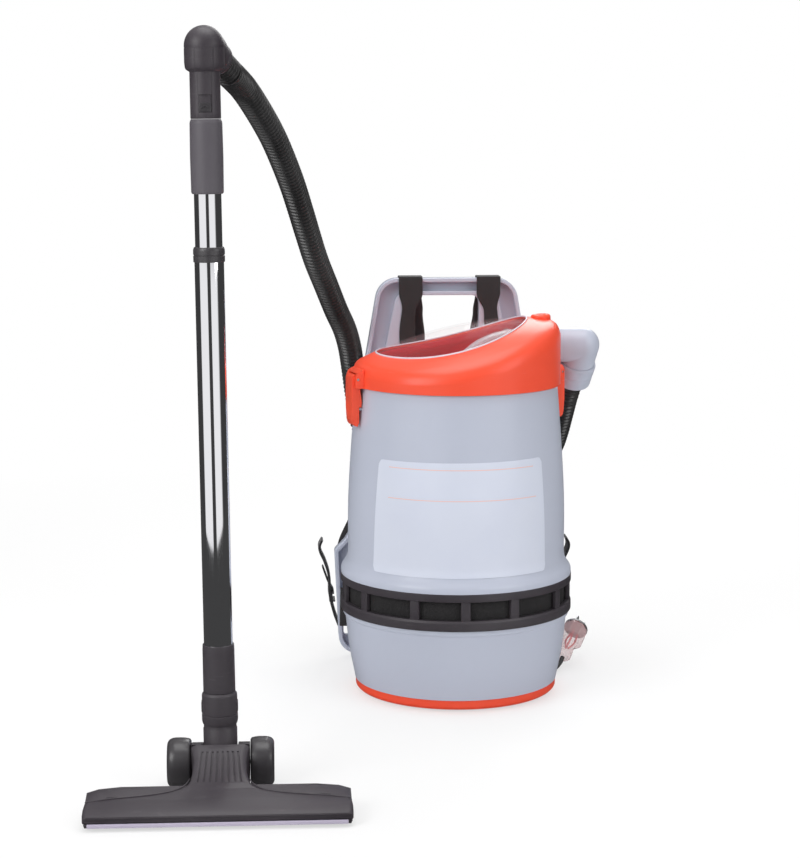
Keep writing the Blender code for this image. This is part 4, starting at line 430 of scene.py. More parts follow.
greyShade = (0.53, 0.565, 0.672)
orangeShade = (1.0, 0.080, 0.026)
blackShade = (0.029, 0.0205, 0.0300)
grey = moulded("grey_plastic", greyShade, 0.36, 1100, 0.00002, 0.03, 0.15)
orange = moulded("orange_plastic", orangeShade, 0.36, 1100, 0.00002, 0.03, 0.08)
black = moulded("black_plastic", blackShade, 0.46, 1500, 0.00006, 0.10)
gloss = moulded("gloss_black", (0.022, 0.018, 0.023), 0.33, 1500, 0.00001, 0.10, 0.1, 0.3)
grip = moulded("textured_grip", (0.078, 0.068, 0.084), 0.50, 1250, 0.0004, 0.10, 0.0, 0.2)
hosePlastic = moulded("hose_plastic", (0.0030, 0.0022, 0.0030), 0.24, 1500, 0.00002, 0.10, 0.0,
                      0.1)
rubber = moulded("rubber", (0.026, 0.026, 0.027), 0.72, 900, 0.00006, 0.10)
paleStrip = moulded("bumper", (0.52, 0.47, 0.60), 0.55, 900, 0.00004, 0.08)
redMoulding = moulded("red_liner", (0.80, 0.010, 0.030), 0.30, 900, 0.00002, 0.06, 0.3)
chrome = metal("chromed_tube", (0.80, 0.80, 0.83), 0.045, (1, 1, 0.02), 0.03)
steel = metal("steel", (0.55, 0.56, 0.58), 0.28, (1, 1, 0.05), 0.10)
copper = metal("copper_winding", (0.72, 0.32, 0.16), 0.35, (0.1, 0.1, 4), 0.10)
window = clear("clear_plastic", (0.80, 0.76, 0.80), 0.012, 0.055)
# the clear window's rim as an opaque pale finish: a painted highlight for light caught on the clear edge
paintedEdgeHighlight = moulded("window_edge", (0.78, 0.66, 0.74), 0.30, 900, 0.00002, 0.04)
ductClear = clear("clear_duct", (0.92, 0.88, 0.92), 0.10, 0.60)
rose = clear("clear_plug", (0.85, 0.62, 0.62), 0.34, 0.5, 0.06)
cloth = webbing("black_webbing", (0.022, 0.020, 0.023))
padding = padCloth("black_padding", (0.022, 0.020, 0.024))
filterCloth = padCloth("filter_cloth", (0.60, 0.58, 0.53))
foam = foamFinish("filter_foam", (0.012, 0.010, 0.012))
bristle = moulded("bristle", (0.045, 0.045, 0.05), 0.8, 2400, 0.0002, 0.2)
finishOf = {finish.name: finish for finish in (
    grey, orange, black, gloss, grip, hosePlastic, rubber, paleStrip, redMoulding, chrome, steel,
    copper, window, rose, cloth, filterCloth, foam, bristle)}
for entry in frame["record"]["subparts"]:
    mesh = nodes[entry["node"]].data
    mesh.materials.clear()
    mesh.materials.append(finishOf[entry["material_slot"]].material)
print("finishes ready")

# small tools for shapes


def meshFrom(name, bm):
    # the layer that numbers a ring's points is only for the making
    for layer in list(bm.verts.layers.int):
        bm.verts.layers.int.remove(layer)
    mesh = bpy.data.meshes.new(name)
    bm.to_mesh(mesh)
    bm.free()
    return mesh


def linked(name, data):
    piece = bpy.data.objects.new(name, data)
    scene.collection.objects.link(piece)
    return piece


def rounded(bm, edges, width, segments=2):
    bmesh.ops.bevel(bm, geom=list(edges), offset=width, offset_type="OFFSET", segments=segments,
                    profile=0.5, affect="EDGES", clamp_overlap=True, material=-1)


def shaped(name, bm, finish, body, replaced=(), slot=None, sharp=35, flipped=True):
    bmesh.ops.remove_doubles(bm, verts=bm.verts, dist=1e-6)
    if flipped:
        bmesh.ops.recalc_face_normals(bm, faces=bm.faces)
    mesh = meshFrom(name, bm)
    mesh.shade_smooth()
    mesh.set_sharp_from_angle(angle=math.radians(sharp))
    mesh.materials.append(finish.material)
    piece = linked(name, mesh)
    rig.ride(piece, body)
    if replaced:
        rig.replaces(piece, *replaced)
    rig.slot(piece, slot or finish.name)
    return piece


def eased(corners, steps=4):
    # a corner's third number is the radius that rounds it
    line = []
    for index, corner in enumerate(corners):
        here = Vector(corner[:2])
        if len(corner) < 3:
            line.append(tuple(here))
            continue
        before = Vector(corners[index - 1][:2]) - here
        after = Vector(corners[(index + 1) % len(corners)][:2]) - here
        reach = min(corner[2], before.length * 0.45, after.length * 0.45)
        start, end = here + before.normalized() * reach, here + after.normalized() * reach
        for step in range(steps + 1):
            t = step / steps
            line.append(tuple(start * (1 - t) ** 2 + here * 2 * t * (1 - t) + end * t * t))
    return line


def spun(profile, steps=96, bm=None, turn=None):
    bm = bm or bmesh.new()
    old = set(bm.verts)
    line = [bm.verts.new((r, 0, z)) for r, z in profile]
    pairs = list(zip(line, line[1:]))
    if min(r for r, z in (profile[0], profile[-1])) > 1e-6:
        pairs.append((line[-1], line[0]))
    edges = [bm.edges.new(pair) for pair in pairs]
    bmesh.ops.spin(bm, geom=line + edges, cent=(0, 0, 0), axis=(0, 0, 1), angle=2 * math.pi,
                   steps=steps, use_merge=True)
    new = [v for v in bm.verts if v not in old]
    bmesh.ops.remove_doubles(bm, verts=new, dist=1e-6)
    new = [v for v in bm.verts if v not in old]
    if turn is not None:
        bmesh.ops.transform(bm, matrix=turn, verts=new)
    return bm


def lofted(rings, bm=None, capStart=True, capEnd=True, weave=None):
    bm = bm or bmesh.new()
    mark = bm.verts.layers.int.get("mark") or bm.verts.layers.int.new("mark")
    layer = None
    if weave:
        layer = (bm.verts.layers.float_vector.get("weave")
                 or bm.verts.layers.float_vector.new("weave"))
    first = [bm.verts.new(point) for point in rings[0]]
    for index, vert in enumerate(first):
        vert[mark] = index
        if weave:
            vert[layer] = weave(0, index)
    loop = [bm.edges.new(pair) for pair in zip(first, first[1:] + first[:1])]
    if capStart:
        bm.faces.new(first)
    for number, ring in enumerate(rings[1:], 1):
        made = bmesh.ops.extrude_edge_only(bm, edges=loop)["geom"]
        verts = {item for item in made if isinstance(item, bmesh.types.BMVert)}
        loop = [item for item in made if isinstance(item, bmesh.types.BMEdge)
                and item.verts[0] in verts and item.verts[1] in verts]
        for vert in verts:
            vert.co = ring[vert[mark]]
            if weave:
                vert[layer] = weave(number, vert[mark])
    if capEnd:
        last = sorted(verts, key=lambda vert: vert[mark])
        bm.faces.new(last)
    return bm


def roundTurn(count):
    # evenly spaced angles of a whole turn
    return [2 * math.pi * k / count for k in range(count)]


def circleAt(centre, way, radius, sides, lead=None):
    # a ring of points round an axis
    way = Vector(way).normalized()
    side = lead - way * lead.dot(way) if lead is not None else way.orthogonal()
    side = side.normalized()
    other = way.cross(side)
    return [Vector(centre) + side * (radius * math.cos(angle))
            + other * (radius * math.sin(angle)) for angle in roundTurn(sides)], side


def swept(path, radii, sides=32, bm=None, inner=None):
    # a bar along a path, or a pipe where inner gives the bore; a radius is a number or a list
    radii, inner = ([size] * len(path) if isinstance(size, float) else size
                    for size in (radii, inner))
    ways = []
    for index in range(len(path)):
        before, after = path[max(index - 1, 0)], path[min(index + 1, len(path) - 1)]
        ways.append((Vector(after) - Vector(before)).normalized())
    rings, leads, lead = [], [], None
    for point, way, radius in zip(path, ways, radii):
        ring, lead = circleAt(point, way, radius, sides, lead)
        leads.append(lead)
        rings.append(ring)
    if inner is None:
        return lofted(rings, bm)
    for point, way, radius, lead in reversed(list(zip(path, ways, inner, leads))):
        rings.append(circleAt(point, way, radius, sides, lead)[0])
    rings.append(rings[0])
    return lofted(rings, bm, False, False)


def smoothRoute(points, spacing):
    route = [Vector(p) for p in points]
    route = [2 * route[0] - route[1]] + route + [2 * route[-1] - route[-2]]
    dense = []
    for a, b, c, d in zip(route, route[1:], route[2:], route[3:]):
        for step in range(24):
            t = step / 24
            dense.append(0.5 * (2 * b + (c - a) * t + (2 * a - 5 * b + 4 * c - d) * t ** 2
                                + (3 * b - a - 3 * c + d) * t ** 3))
    dense.append(route[-2])
    lengths = [0.0]
    for a, b in zip(dense, dense[1:]):
        lengths.append(lengths[-1] + (b - a).length)
    count = max(2, round(lengths[-1] / spacing))
    even, k = [], 0
    for index in range(count + 1):
        want = lengths[-1] * index / count
        while k < len(dense) - 2 and lengths[k + 1] < want:
            k += 1
        share = (want - lengths[k]) / max(lengths[k + 1] - lengths[k], 1e-9)
        even.append(dense[k].lerp(dense[k + 1], min(share, 1.0)))
    return even, lengths[-1]


def boxAt(bm, size, place, turn=None, bevel=0.0):
    spot = Matrix.Translation(place) @ (turn or Matrix())
    made = bmesh.ops.create_cube(bm, size=1.0, matrix=spot @ Matrix.Diagonal((*size, 1.0)))
    if bevel:
        rounded(bm, {edge for vert in made["verts"] for edge in vert.link_edges}, bevel, 3)
    return bm


def softened(name, node, finish, body, width, segments, angle, sharp=35):
    # a merged copy of a CAD node with its hard edges rounded
    bm = bmesh.new()
    bm.from_mesh(nodes[node].data)
    bmesh.ops.remove_doubles(bm, verts=bm.verts, dist=1e-5)
    bmesh.ops.dissolve_limit(bm, angle_limit=math.radians(0.5), use_dissolve_boundaries=False,
                             verts=bm.verts, edges=bm.edges, delimit=set())
    hard = [edge for edge in bm.edges if len(edge.link_faces) == 2
            and edge.calc_face_angle(0) > math.radians(angle)]
    rounded(bm, hard, width, segments)
    return shaped(name, bm, finish, body, [node], sharp=sharp)


def radiusAt(side, height):
    for (upper, high), (lower, low) in zip(side, side[1:]):
        if low <= height <= high:
            return lower + (upper - lower) * (height - low) / max(high - low, 1e-9)
    return side[0][0] if height > side[0][1] else side[-1][0]


def polar(radius, angle, height):
    return Vector((radius * math.cos(angle), radius * math.sin(angle), height))


def smoothProfile(points, spacing=0.004):
    # a soft curve through (radius, height) points
    line, _ = smoothRoute([(r, 0, z) for r, z in points], spacing)
    return [(p.x, p.z) for p in line]


def prism(bm, outline, half, turn, bevel=0.0):
    # a flat outline made a block, with soft edges where bevel is given
    old = set(bm.faces)
    lofted([[turn @ Vector((u, -half, v)) for u, v in outline],
            [turn @ Vector((u, half, v)) for u, v in outline]], bm)
    if bevel:
        new = [face for face in bm.faces if face not in old]
        edges = {edge for face in new for edge in face.edges
                 if edge.is_manifold and edge.calc_face_angle(0) > 0.5}
        rounded(bm, edges, bevel)
    return bm


def alongWay(point, way):
    # the turn and place that carry z onto a way
    return Matrix.Translation(point) @ Vector(way).to_track_quat("Z", "Y").to_matrix().to_4x4()


# light, floor and background

studio = {"fill": 0.42, "floorGlow": 0.62, "fadeFrom": 0.7, "fadeOver": 1.3, "floorRadius": 2.3,
          "floorGloom": 0.94, "aim": (-0.1, 0, 0.35)}
# what shiny pieces mirror: two bright bands in front, with a dark gap, and a dim ceiling
bands = {"gapMiddle": -0.06, "gapHalf": 0.20, "rightEnd": 0.93, "frontFrom": -0.14, "upTo": 0.14,
         "sharp": 12, "gapSharp": 22, "ceilingFrom": 0.25, "ceilingRise": 2.5,
         "ceilingGlow": 0.45, "dark": 0.05}
lamps = {
    "left": {"place": (-2.1, -1.9, 1.7), "size": 1.5, "power": 34},
    "right": {"place": (2.0, -1.8, 1.4), "size": 1.3, "power": 14},
    "top": {"place": (-0.1, -0.2, 2.6), "size": 1.7, "power": 30},
    "rear": {"place": (0.6, 2.2, 1.9), "size": 1.4, "power": 26},
}


def addWorld():
    world = bpy.data.worlds.new("studio")
    world.use_nodes = True
    scene.world = world
    tree = world.node_tree
    glow = tree.nodes["Background"]
    glow.inputs["Color"].default_value = (1, 1, 1, 1)
    path = tree.nodes.new("ShaderNodeLightPath")
    seen = Value(tree, path.outputs["Is Camera Ray"]) + Value(
        tree, path.outputs["Is Transmission Ray"])
    shine = Value(tree, path.outputs["Is Glossy Ray"])
    way = tree.nodes.new("ShaderNodeTexCoord")
    split = tree.nodes.new("ShaderNodeSeparateXYZ")
    tree.links.new(way.outputs["Generated"], split.inputs[0])
    x, y, z = (Value(tree, split.outputs[axis]) for axis in ("X", "Y", "Z"))
    front = ((bands["frontFrom"] - y) * bands["sharp"]).held()
    level = ((bands["upTo"] - z) * bands["sharp"]).held()
    beside = ((abs(x - bands["gapMiddle"]) - bands["gapHalf"]) * bands["gapSharp"]).held()
    wide = beside * ((bands["rightEnd"] - x) * bands["sharp"]).held() * front
    ceiling = ((z - bands["ceilingFrom"]) * bands["ceilingRise"]).held() * bands["ceilingGlow"]
    bright = (wide * level).most(ceiling) * (1 - bands["dark"]) + bands["dark"]
    strength = seen.most(shine * bright).most(studio["fill"] * (1 - shine))
    tree.links.new(strength.held().socket, glow.inputs["Strength"])


def addLamps():
    for name, lamp in lamps.items():
        light = bpy.data.lights.new(name, "AREA")
        light.energy = lamp["power"]
        light.size = lamp["size"]
        spot = linked(name, light)
        spot.location = lamp["place"]
        aim = Vector(studio["aim"]) - spot.location
        spot.rotation_euler = aim.to_track_quat("-Z", "Y").to_euler()


def addFloor():
    bm = bmesh.new()
    bmesh.ops.create_circle(bm, cap_ends=True, segments=96, radius=studio["floorRadius"])
    mesh = meshFrom("floor", bm)
    floor = linked("floor", mesh)
    floor.location = (0, 0, -0.0004)
    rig.stage(floor)
    material = bpy.data.materials.new("floor")
    material.use_nodes = True
    tree = material.node_tree
    matt = tree.nodes["Principled BSDF"]
    matt.inputs["Base Color"].default_value = (0.93, 0.93, 0.93, 1)
    matt.inputs["Roughness"].default_value = 0.85
    glow = tree.nodes.new("ShaderNodeEmission")
    path = tree.nodes.new("ShaderNodeLightPath")
    mix = tree.nodes.new("ShaderNodeMixShader")
    mirrored = Value(tree, path.outputs["Is Glossy Ray"])
    seen = Value(tree, path.outputs["Is Camera Ray"]) + mirrored + Value(
        tree, path.outputs["Is Transmission Ray"])
    where = tree.nodes.new("ShaderNodeTexCoord")
    split = tree.nodes.new("ShaderNodeSeparateXYZ")
    tree.links.new(where.outputs["Object"], split.inputs[0])
    x, y = (Value(tree, split.outputs[axis]) for axis in ("X", "Y"))
    far = (((x * x + y * y) ** 0.5 - studio["fadeFrom"]) * (1 / studio["fadeOver"])).held()
    glowShare = studio["floorGlow"] + far * (1 - studio["floorGlow"])
    tree.links.new((seen.held() * glowShare).most(mirrored).socket, mix.inputs[0])
    tree.links.new((1 - mirrored * studio["floorGloom"]).socket, glow.inputs["Strength"])
    tree.links.new(matt.outputs[0], mix.inputs[1])
    tree.links.new(glow.outputs[0], mix.inputs[2])
    tree.links.new(mix.outputs[0], tree.nodes["Material Output"].inputs[0])
    mesh.materials.append(material)


addWorld()
addLamps()
addFloor()
scene.view_settings.view_transform = "Standard"
print("studio ready")

# places worked out from the frame, the gap where two pieces meet, and the moulded walls

seam = 0.0003
shellThick = 0.003
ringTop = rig.box("drum_shell")[0][2]
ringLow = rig.box("exhaust_ring")[0][2]
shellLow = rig.box("lower_shell")[0][2]
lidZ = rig.box("lid_shell")[0][2]
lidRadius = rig.box("lid_shell")[1][1]
frameFront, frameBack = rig.box("harness_frame")[0][1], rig.box("harness_frame")[1][1]
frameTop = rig.box("harness_frame")[1][2]
wandFoot = Vector((-0.323, -0.440, 0.0303))
wandLean = math.radians(0.6)
wandTurn = (Matrix.Translation(wandFoot) @ Matrix.Rotation(-wandLean, 4, "Y")
            @ Matrix.Translation((0, 0, -wandFoot.z)))
wandTilt = wandTurn.to_3x3().to_4x4()
elbowCorner = Vector((0.183, 0.045, lidZ + 0.0475))
elbowDown = Vector((-0.151, 0.545, -0.839)).normalized()
cuffStart = elbowCorner + elbowDown * 0.0285
cuffMouth = cuffStart + elbowDown * 0.037
outletWay = Vector((0.330, 0.870, -0.360)).normalized()
domeCentre = wandTurn @ Vector((0, 0, 0.8855))

# the hose, in the two stretches that the frame gives it

hoseSizes = {"crest": 0.0175, "root": 0.0138, "pitch": 0.0070, "sides": 32, "steps": 10}
hoseMeeting = (-0.012, 0.262, 0.258)
outletStart = domeCentre + outletWay * (0.0325 + 0.011 + seam)
upperRoute = [
    outletStart, outletStart + outletWay * 0.036,
    (-0.2890, -0.300, 0.8390), (-0.2718, -0.250, 0.8126), (-0.2546, -0.200, 0.7812),
    (-0.2406, -0.155, 0.7486), (-0.2281, -0.110, 0.7149), (-0.2173, -0.070, 0.6802),
    (-0.2067, -0.030, 0.6444), (-0.1952, 0.010, 0.6075), (-0.1803, 0.060, 0.5688),
    (-0.1648, 0.110, 0.5287), (-0.1515, 0.147, 0.4980), (-0.1430, 0.177, 0.4680),
    (-0.1375, 0.204, 0.4350), (-0.1320, 0.224, 0.3950), (-0.1240, 0.239, 0.3500),
    (-0.1080, 0.250, 0.3080), (-0.0820, 0.258, 0.2740), (-0.0480, 0.262, 0.2580),
    hoseMeeting]
lowerStart = cuffMouth + elbowDown * seam
lowerRoute = [
    lowerStart, lowerStart + elbowDown * 0.036,
    (0.1650, 0.122, 0.3720), (0.1620, 0.147, 0.3430), (0.1580, 0.176, 0.3170),
    (0.1470, 0.206, 0.2930), (0.1270, 0.232, 0.2750), (0.0980, 0.250, 0.2640),
    (0.0620, 0.260, 0.2590), (0.0260, 0.262, 0.2580),
    (hoseMeeting[0] + seam, hoseMeeting[1], hoseMeeting[2])]


def addHose(name, route, node, ends):
    size = hoseSizes
    points, length = smoothRoute(route, size["pitch"] / size["steps"])
    straight = 2 * size["crest"]
    startWay = (Vector(route[1]) - Vector(route[0])).normalized()
    endWay = (Vector(route[-1]) - Vector(route[-2])).normalized()
    path, radii = [], []
    for index, point in enumerate(points):
        along = length * index / (len(points) - 1)
        if along < straight:
            point = points[0] + startWay * along
        if length - along < straight:
            point = points[-1] - endWay * (length - along)
        path.append(point)
        ridge = (0.5 + 0.5 * math.cos(2 * math.pi * index / size["steps"])) ** 1.6
        radii.append(size["root"] + (size["crest"] - size["root"]) * ridge)
    bm = swept(path, radii, size["sides"])
    bmesh.ops.recalc_face_normals(bm, faces=bm.faces)
    mesh = meshFrom(name, bm)
    mesh.shade_smooth()
    mesh.materials.append(hosePlastic.material)
    piece = linked(name, mesh)
    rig.replaces(piece, node)
    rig.slot(piece, "hose_plastic")
    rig.blend(piece, *ends["bodies"], start=ends["start"], end=ends["end"])
    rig.cord(piece, exit=path[0], length=length, diameter=2 * size["crest"], far_end="object",
            stiffness="stiff", lay="hanging", path=path[::size["steps"]] + [path[-1]])


addHose("ribbedHoseUpper", upperRoute, "hose_upper",
        {"bodies": ("wand_handle", drumBody), "start": upperRoute[1], "end": upperRoute[14]})
addHose("ribbedHoseLower", lowerRoute, "hose_lower",
        {"bodies": ("lid", drumBody), "start": lowerRoute[1], "end": lowerRoute[8]})

# the lead and its plug

leadSizes = {"radius": 0.0032, "glandAngle": math.radians(48), "glandZ": 0.078,
             "glandLength": 0.026, "plugRadius": 0.0190}
lowerSide = [
    (0.1600, ringLow - seam), (0.1600, ringLow - 0.006), (0.1565, ringLow - 0.009),
    (0.1515, shellLow + 0.101 * 0.45), (0.1428, shellLow)]
plugStart = Vector((0.1665, 0.090, 0.0150))
plugWay = Vector((0.40, 0.80, 0.44)).normalized()
glandWay = Vector((math.cos(leadSizes["glandAngle"]) * 0.62,
                   math.sin(leadSizes["glandAngle"]) * 0.62, -0.785)).normalized()
glandSeat = polar(radiusAt(lowerSide, leadSizes["glandZ"]), leadSizes["glandAngle"],
                  leadSizes["glandZ"])
plugTip = plugStart + plugWay * 0.0663


def addPlug():
    turn = alongWay(plugStart, plugWay)
    r = leadSizes["plugRadius"]
    block = spun(eased([(0, 0.066), (r * 0.93, 0.066), (r, 0.062, 0.001), (r, 0.040, 0.002),
                        (r * 0.60, 0.032, 0.002), (r * 0.56, 0.022), (r * 0.62, 0.014),
                        (r * 0.62, 0.004, 0.002), (r * 0.45, 0.0), (0, 0.0)]), 8, turn=turn)
    edges = [edge for edge in block.edges if len(edge.link_faces) == 2
             and edge.calc_face_angle(0) > 0.5]
    rounded(block, edges, 0.0009)
    body = shaped("plugBlock", block, rose, drumBody, ["lead_plug"])
    pins = bmesh.new()
    facing = alongWay(plugTip, plugWay)
    bmesh.ops.create_cone(pins, cap_ends=True, segments=32, radius1=r * 0.94, radius2=r * 0.94,
                          depth=0.003, matrix=facing @ Matrix.Translation((0, 0, 0.0015)))
    for angle, lean in ((90, 0), (210, 30), (330, -30)):
        spot = polar(0.0085, math.radians(angle), 0.0105)
        boxAt(pins, (0.0016, 0.0063, 0.017), facing @ spot,
              facing.to_3x3().to_4x4() @ Matrix.Rotation(math.radians(lean), 4, "Z"), 0.0003)
    blades = shaped("plugPins", pins, steel, drumBody, ["plug_pins"])
    wires = bmesh.new()
    for angle in (90, 210, 330):
        spot = turn @ polar(0.006, math.radians(angle), 0.058)
        start = turn @ polar(0.002, math.radians(angle), 0.022)
        swept(smoothRoute([start, turn @ polar(0.0075, math.radians(angle + 20), 0.040), spot],
                          0.002)[0], 0.0014, 10, wires)
    cores = shaped("plugWires", wires, redMoulding, drumBody)
    return [body, blades, cores]


def addLead():
    gland = bmesh.new()
    facing = alongWay(glandSeat, glandWay)
    r = leadSizes["radius"]
    ribs = [(0, -0.004), (r + 0.0022, -0.004), (r + 0.0022, 0.0080), (r + 0.0048, 0.0088),
            (r + 0.0048, 0.0122), (r + 0.0020, 0.0130)]
    for k in range(4):
        z = 0.0145 + 0.0028 * k
        ribs += [(r + 0.0018, z), (r + 0.0018, z + 0.0014), (r + 0.0009, z + 0.0018),
                 (r + 0.0009, z + 0.0024)]
    ribs += [(r + 0.0008, leadSizes["glandLength"]), (0, leadSizes["glandLength"])]
    spun(ribs, 32, gland, facing)
    shaped("leadGland", gland, rubber, drumBody, ["cord_gland"])
    tip = glandSeat + glandWay * leadSizes["glandLength"]
    start = tip + glandWay * seam
    end = plugStart - plugWay * seam
    lying = r + 0.0004
    route = [start, start + glandWay * 0.013, (0.1245, 0.138, 0.026), (0.1230, 0.136, 0.011),
             (0.1150, 0.124, lying), (0.1120, 0.104, lying), (0.1190, 0.083, lying),
             (0.1340, 0.0640, lying), (0.1500, 0.0640, lying + 0.001),
             end - plugWay * 0.013, end]
    path, length = smoothRoute(route, 0.002)
    lead = shaped("leadCord", swept(path, r, 20), rubber, drumBody, ["lead_cord"])
    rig.cord(lead, exit=start, length=length, diameter=2 * r, far_end="plug",
            stiffness="medium", lay="loose", path=path, with_pieces=addPlug())


addLead()
print("hoses and lead ready")

# drum

drumSide = smoothProfile([
    (0.1410, lidZ - seam), (0.1484, lidZ - 0.0961), (0.1521, lidZ - 0.1655),
    (0.1525, ringTop + 0.030)], 0.006) + smoothProfile([
        (0.1525, ringTop + 0.030), (0.1540, ringTop + 0.0216), (0.1575, ringTop + 0.0144),
        (0.1610, ringTop + 0.0096), (0.1625, ringTop + 0.0060)], 0.0016)[1:] + [
            (0.1625, ringTop)]
latchSizes = {"angle": math.radians(15), "pivotRadius": 0.1515, "pivotUp": 0.0125,
              "reach": 0.066, "barrel": 0.0060, "width": 0.030, "catchDeep": 0.003,
              "thick": 0.0115, "housing": 0.048, "housingOut": 0.0090, "housingRise": 0.026}
pivotZ = lidZ + latchSizes["pivotUp"]
catchZ = pivotZ - latchSizes["reach"] * 0.64


def addDrum():
    inner = [(r - shellThick, z) for r, z in reversed(drumSide[4:-4])]
    profile = drumSide + [(0.036, ringTop), (0.036, ringTop + shellThick),
                          (0.1495, ringTop + shellThick)] + inner + [
        (0.1330, lidZ - 0.025), (0.1305, lidZ - 0.013), (0.1380, lidZ - 0.013),
        (0.1380, lidZ - 0.0008), (0.1385, lidZ - seam)]
    bm = spun(profile, 144)
    deep = 0.009
    reach = radiusAt(drumSide, catchZ) + latchSizes["catchDeep"] - deep / 2
    turn = Matrix.Rotation(latchSizes["angle"], 4, "Z")
    for way in (1, -1):
        boxAt(bm, (deep, 0.024, 0.004), polar(way * reach, latchSizes["angle"], catchZ), turn,
              0.0008)
    shaped("drumWall", bm, grey, drumBody, ["drum_shell"])


def addLowerShell():
    side = smoothProfile(list(reversed(lowerSide[2:])), 0.005)
    outer = [(0.1600, ringLow - seam), (0.1600, ringLow - 0.0050), (0.1594, ringLow - 0.0066),
             (0.1578, ringLow - 0.0076)] + list(reversed(side))
    inner = [(r - shellThick, z) for r, z in reversed(outer[:-2])]
    floorIn = shellLow + shellThick
    shaped("lowerShell", spun(outer + [(0.030, shellLow), (0.030, floorIn), (0.139, floorIn)]
                              + inner, 144), grey, drumBody, ["lower_shell"])


def addBasePan():
    edge = 0.142
    bm = spun(eased([(0, 0.006), (edge - 0.003, 0.006), (edge - 0.003, shellLow - seam),
                     (edge, shellLow - seam, 0.0006), (edge, 0.0070, 0.002),
                     (edge - 0.004, 0.0030, 0.002), (0, 0.0030)]), 144)
    for quarter in range(4):
        spot = polar(0.118, math.radians(45 + 90 * quarter), 0)
        spun(eased([(0, 0.004), (0.011, 0.004), (0.011, 0.0, 0.0012), (0, 0.0)]), 40, bm,
             Matrix.Translation(spot))
    shaped("basePan", bm, orange, drumBody, ["base_pan"])


barAngles = (-154.8, -123.6, -100, -80, -56.4, -25.2, 0, 25.2, 56.4, 80, 100, 123.6, 154.8, 180)


def addExhaustRing():
    outer, inner = 0.163, 0.155
    top, low = ringTop - seam, ringLow
    opening = (low + 0.0140, low + 0.0400)
    bm = spun(eased([(outer, top, 0.0008), (outer, opening[1] + 0.0005, 0.0008),
                     (outer - 0.0015, opening[1]), (inner, opening[1]), (inner, top)]), 144)
    spun(eased([(outer - 0.0015, opening[0]), (outer, opening[0] - 0.003, 0.0008),
                (outer, low, 0.0008), (inner, low), (inner, opening[0])]), 144, bm)
    for angle in barAngles:
        turn = Matrix.Rotation(math.radians(angle - 90), 4, "Z")
        middle = turn @ Vector((outer - 0.0048, 0, (opening[0] + opening[1]) / 2))
        boxAt(bm, (0.0064, 0.013, opening[1] - opening[0] + 0.002), middle, turn, 0.0012)
    shaped("exhaustRing", bm, black, drumBody, ["exhaust_ring"])


# left and right are in degrees; a thin stripe has its height, half its width and its middle
plateSizes = {"left": -49.7, "right": 46.2, "top": 0.3457, "low": 0.1895, "corner": 0.007,
              "thick": 0.0007, "span": math.radians(96), "radius": 0.150, "stripeHalf": 0.00055,
              "stripes": ((0.336, 0.0975, -0.003), (0.2945, 0.1005, -0.0015)),
              "stripeShade": (1.0, 0.42, 0.25)}


def plateFinish():
    plate = Finish("label_plate", (0.71, 0.75, 0.86), 0.30)
    x, _, z = plate.parts(plate.place())
    cloud = plate.grain(12, 3)
    upper, lower = ((plateSizes["stripeHalf"] - abs(z - height)).above(0.0)
                    * (half - abs(x - middle)).above(0.0)
                    for height, half, middle in plateSizes["stripes"])
    tone = plate.blended(cloud, (0.66, 0.70, 0.83), (0.74, 0.78, 0.88))
    plate.give("Base Color", plate.blended(upper.most(lower) * 0.55, tone,
                                           plateSizes["stripeShade"]))
    plate.give("Roughness", 0.26 + cloud * 0.10)
    plate.bump(plate.grain(500, 2), 0.05, 0.00002)
    plate.shader.inputs["Coat Weight"].default_value = 0.2
    return plate


def addPlate():
    size = plateSizes
    columns, rows = 64, 28
    rings = []
    height = size["top"] - size["low"]
    for column in range(columns + 1):
        share = column / columns
        ring = []
        for side in (0, 1):
            for row in range(rows + 1):
                level = row / rows if side == 0 else 1 - row / rows
                lean = (1 - level) * 3.0
                angle = size["left"] - lean * 0.9 + share * (
                    size["right"] + lean * 0.6 - size["left"] + lean * 0.9)
                arc = min(share, 1 - share) * size["span"] * size["radius"]
                trim = size["corner"] - math.sqrt(max(size["corner"] ** 2 - max(
                    size["corner"] - arc, 0) ** 2, 0))
                z = size["low"] + trim + (height - 2 * trim) * level
                z = z + 0.0018 * (share - 0.5) * level
                base = radiusAt(drumSide, z) + (size["thick"] if side == 0 else -0.0004)
                turn = math.radians(angle - 90)
                ring.append(polar(base, turn, z))
        rings.append(ring)
    shaped("labelPlate", lofted(rings), plateFinish(), drumBody, sharp=40,
           slot="grey_plastic")


addDrum()
addLowerShell()
addBasePan()
addExhaustRing()
addPlate()
print("drum ready")

# lid, its clear window, the red moulding under it and the inlet

lidSizes = {"curve": 1.16, "rim": (0.0694, 0.229), "crown": (0.1300, 0.0620, 0.204),
            "shoulder": (0.1402, 0.0558, 0.187), "wall": (0.0440, 0.172),
            "windowX": -0.0078, "windowLong": 0.1043, "windowWide": 0.1080,
            "windowCrown": 0.0110, "bossX": 0.1175, "bossRadius": 0.014, "pipe": 0.0245,
            "around": 120}


def lidLevel(x, y, level=lidSizes["rim"]):
    return lidZ + level[0] + level[1] * x - lidSizes["curve"] * y * y


def lidRing(radius, level):
    ring = []
    for angle in roundTurn(lidSizes["around"]):
        point = polar(radius, angle, 0)
        ring.append(Vector((point.x, point.y, lidLevel(point.x, point.y, level))))
    return ring


def windowRing(share, grow=0.0, raised=0.0):
    ring = []
    for angle in roundTurn(lidSizes["around"]):
        x = lidSizes["windowX"] + (lidSizes["windowLong"] + grow) * share * math.cos(angle)
        y = (lidSizes["windowWide"] + grow) * share * math.sin(angle)
        ring.append(Vector((x, y, lidLevel(x, y) + raised)))
    return ring


def between(first, second, share, lift):
    return [a.lerp(b, share) + Vector((0, 0, lift)) for a, b in zip(first, second)]


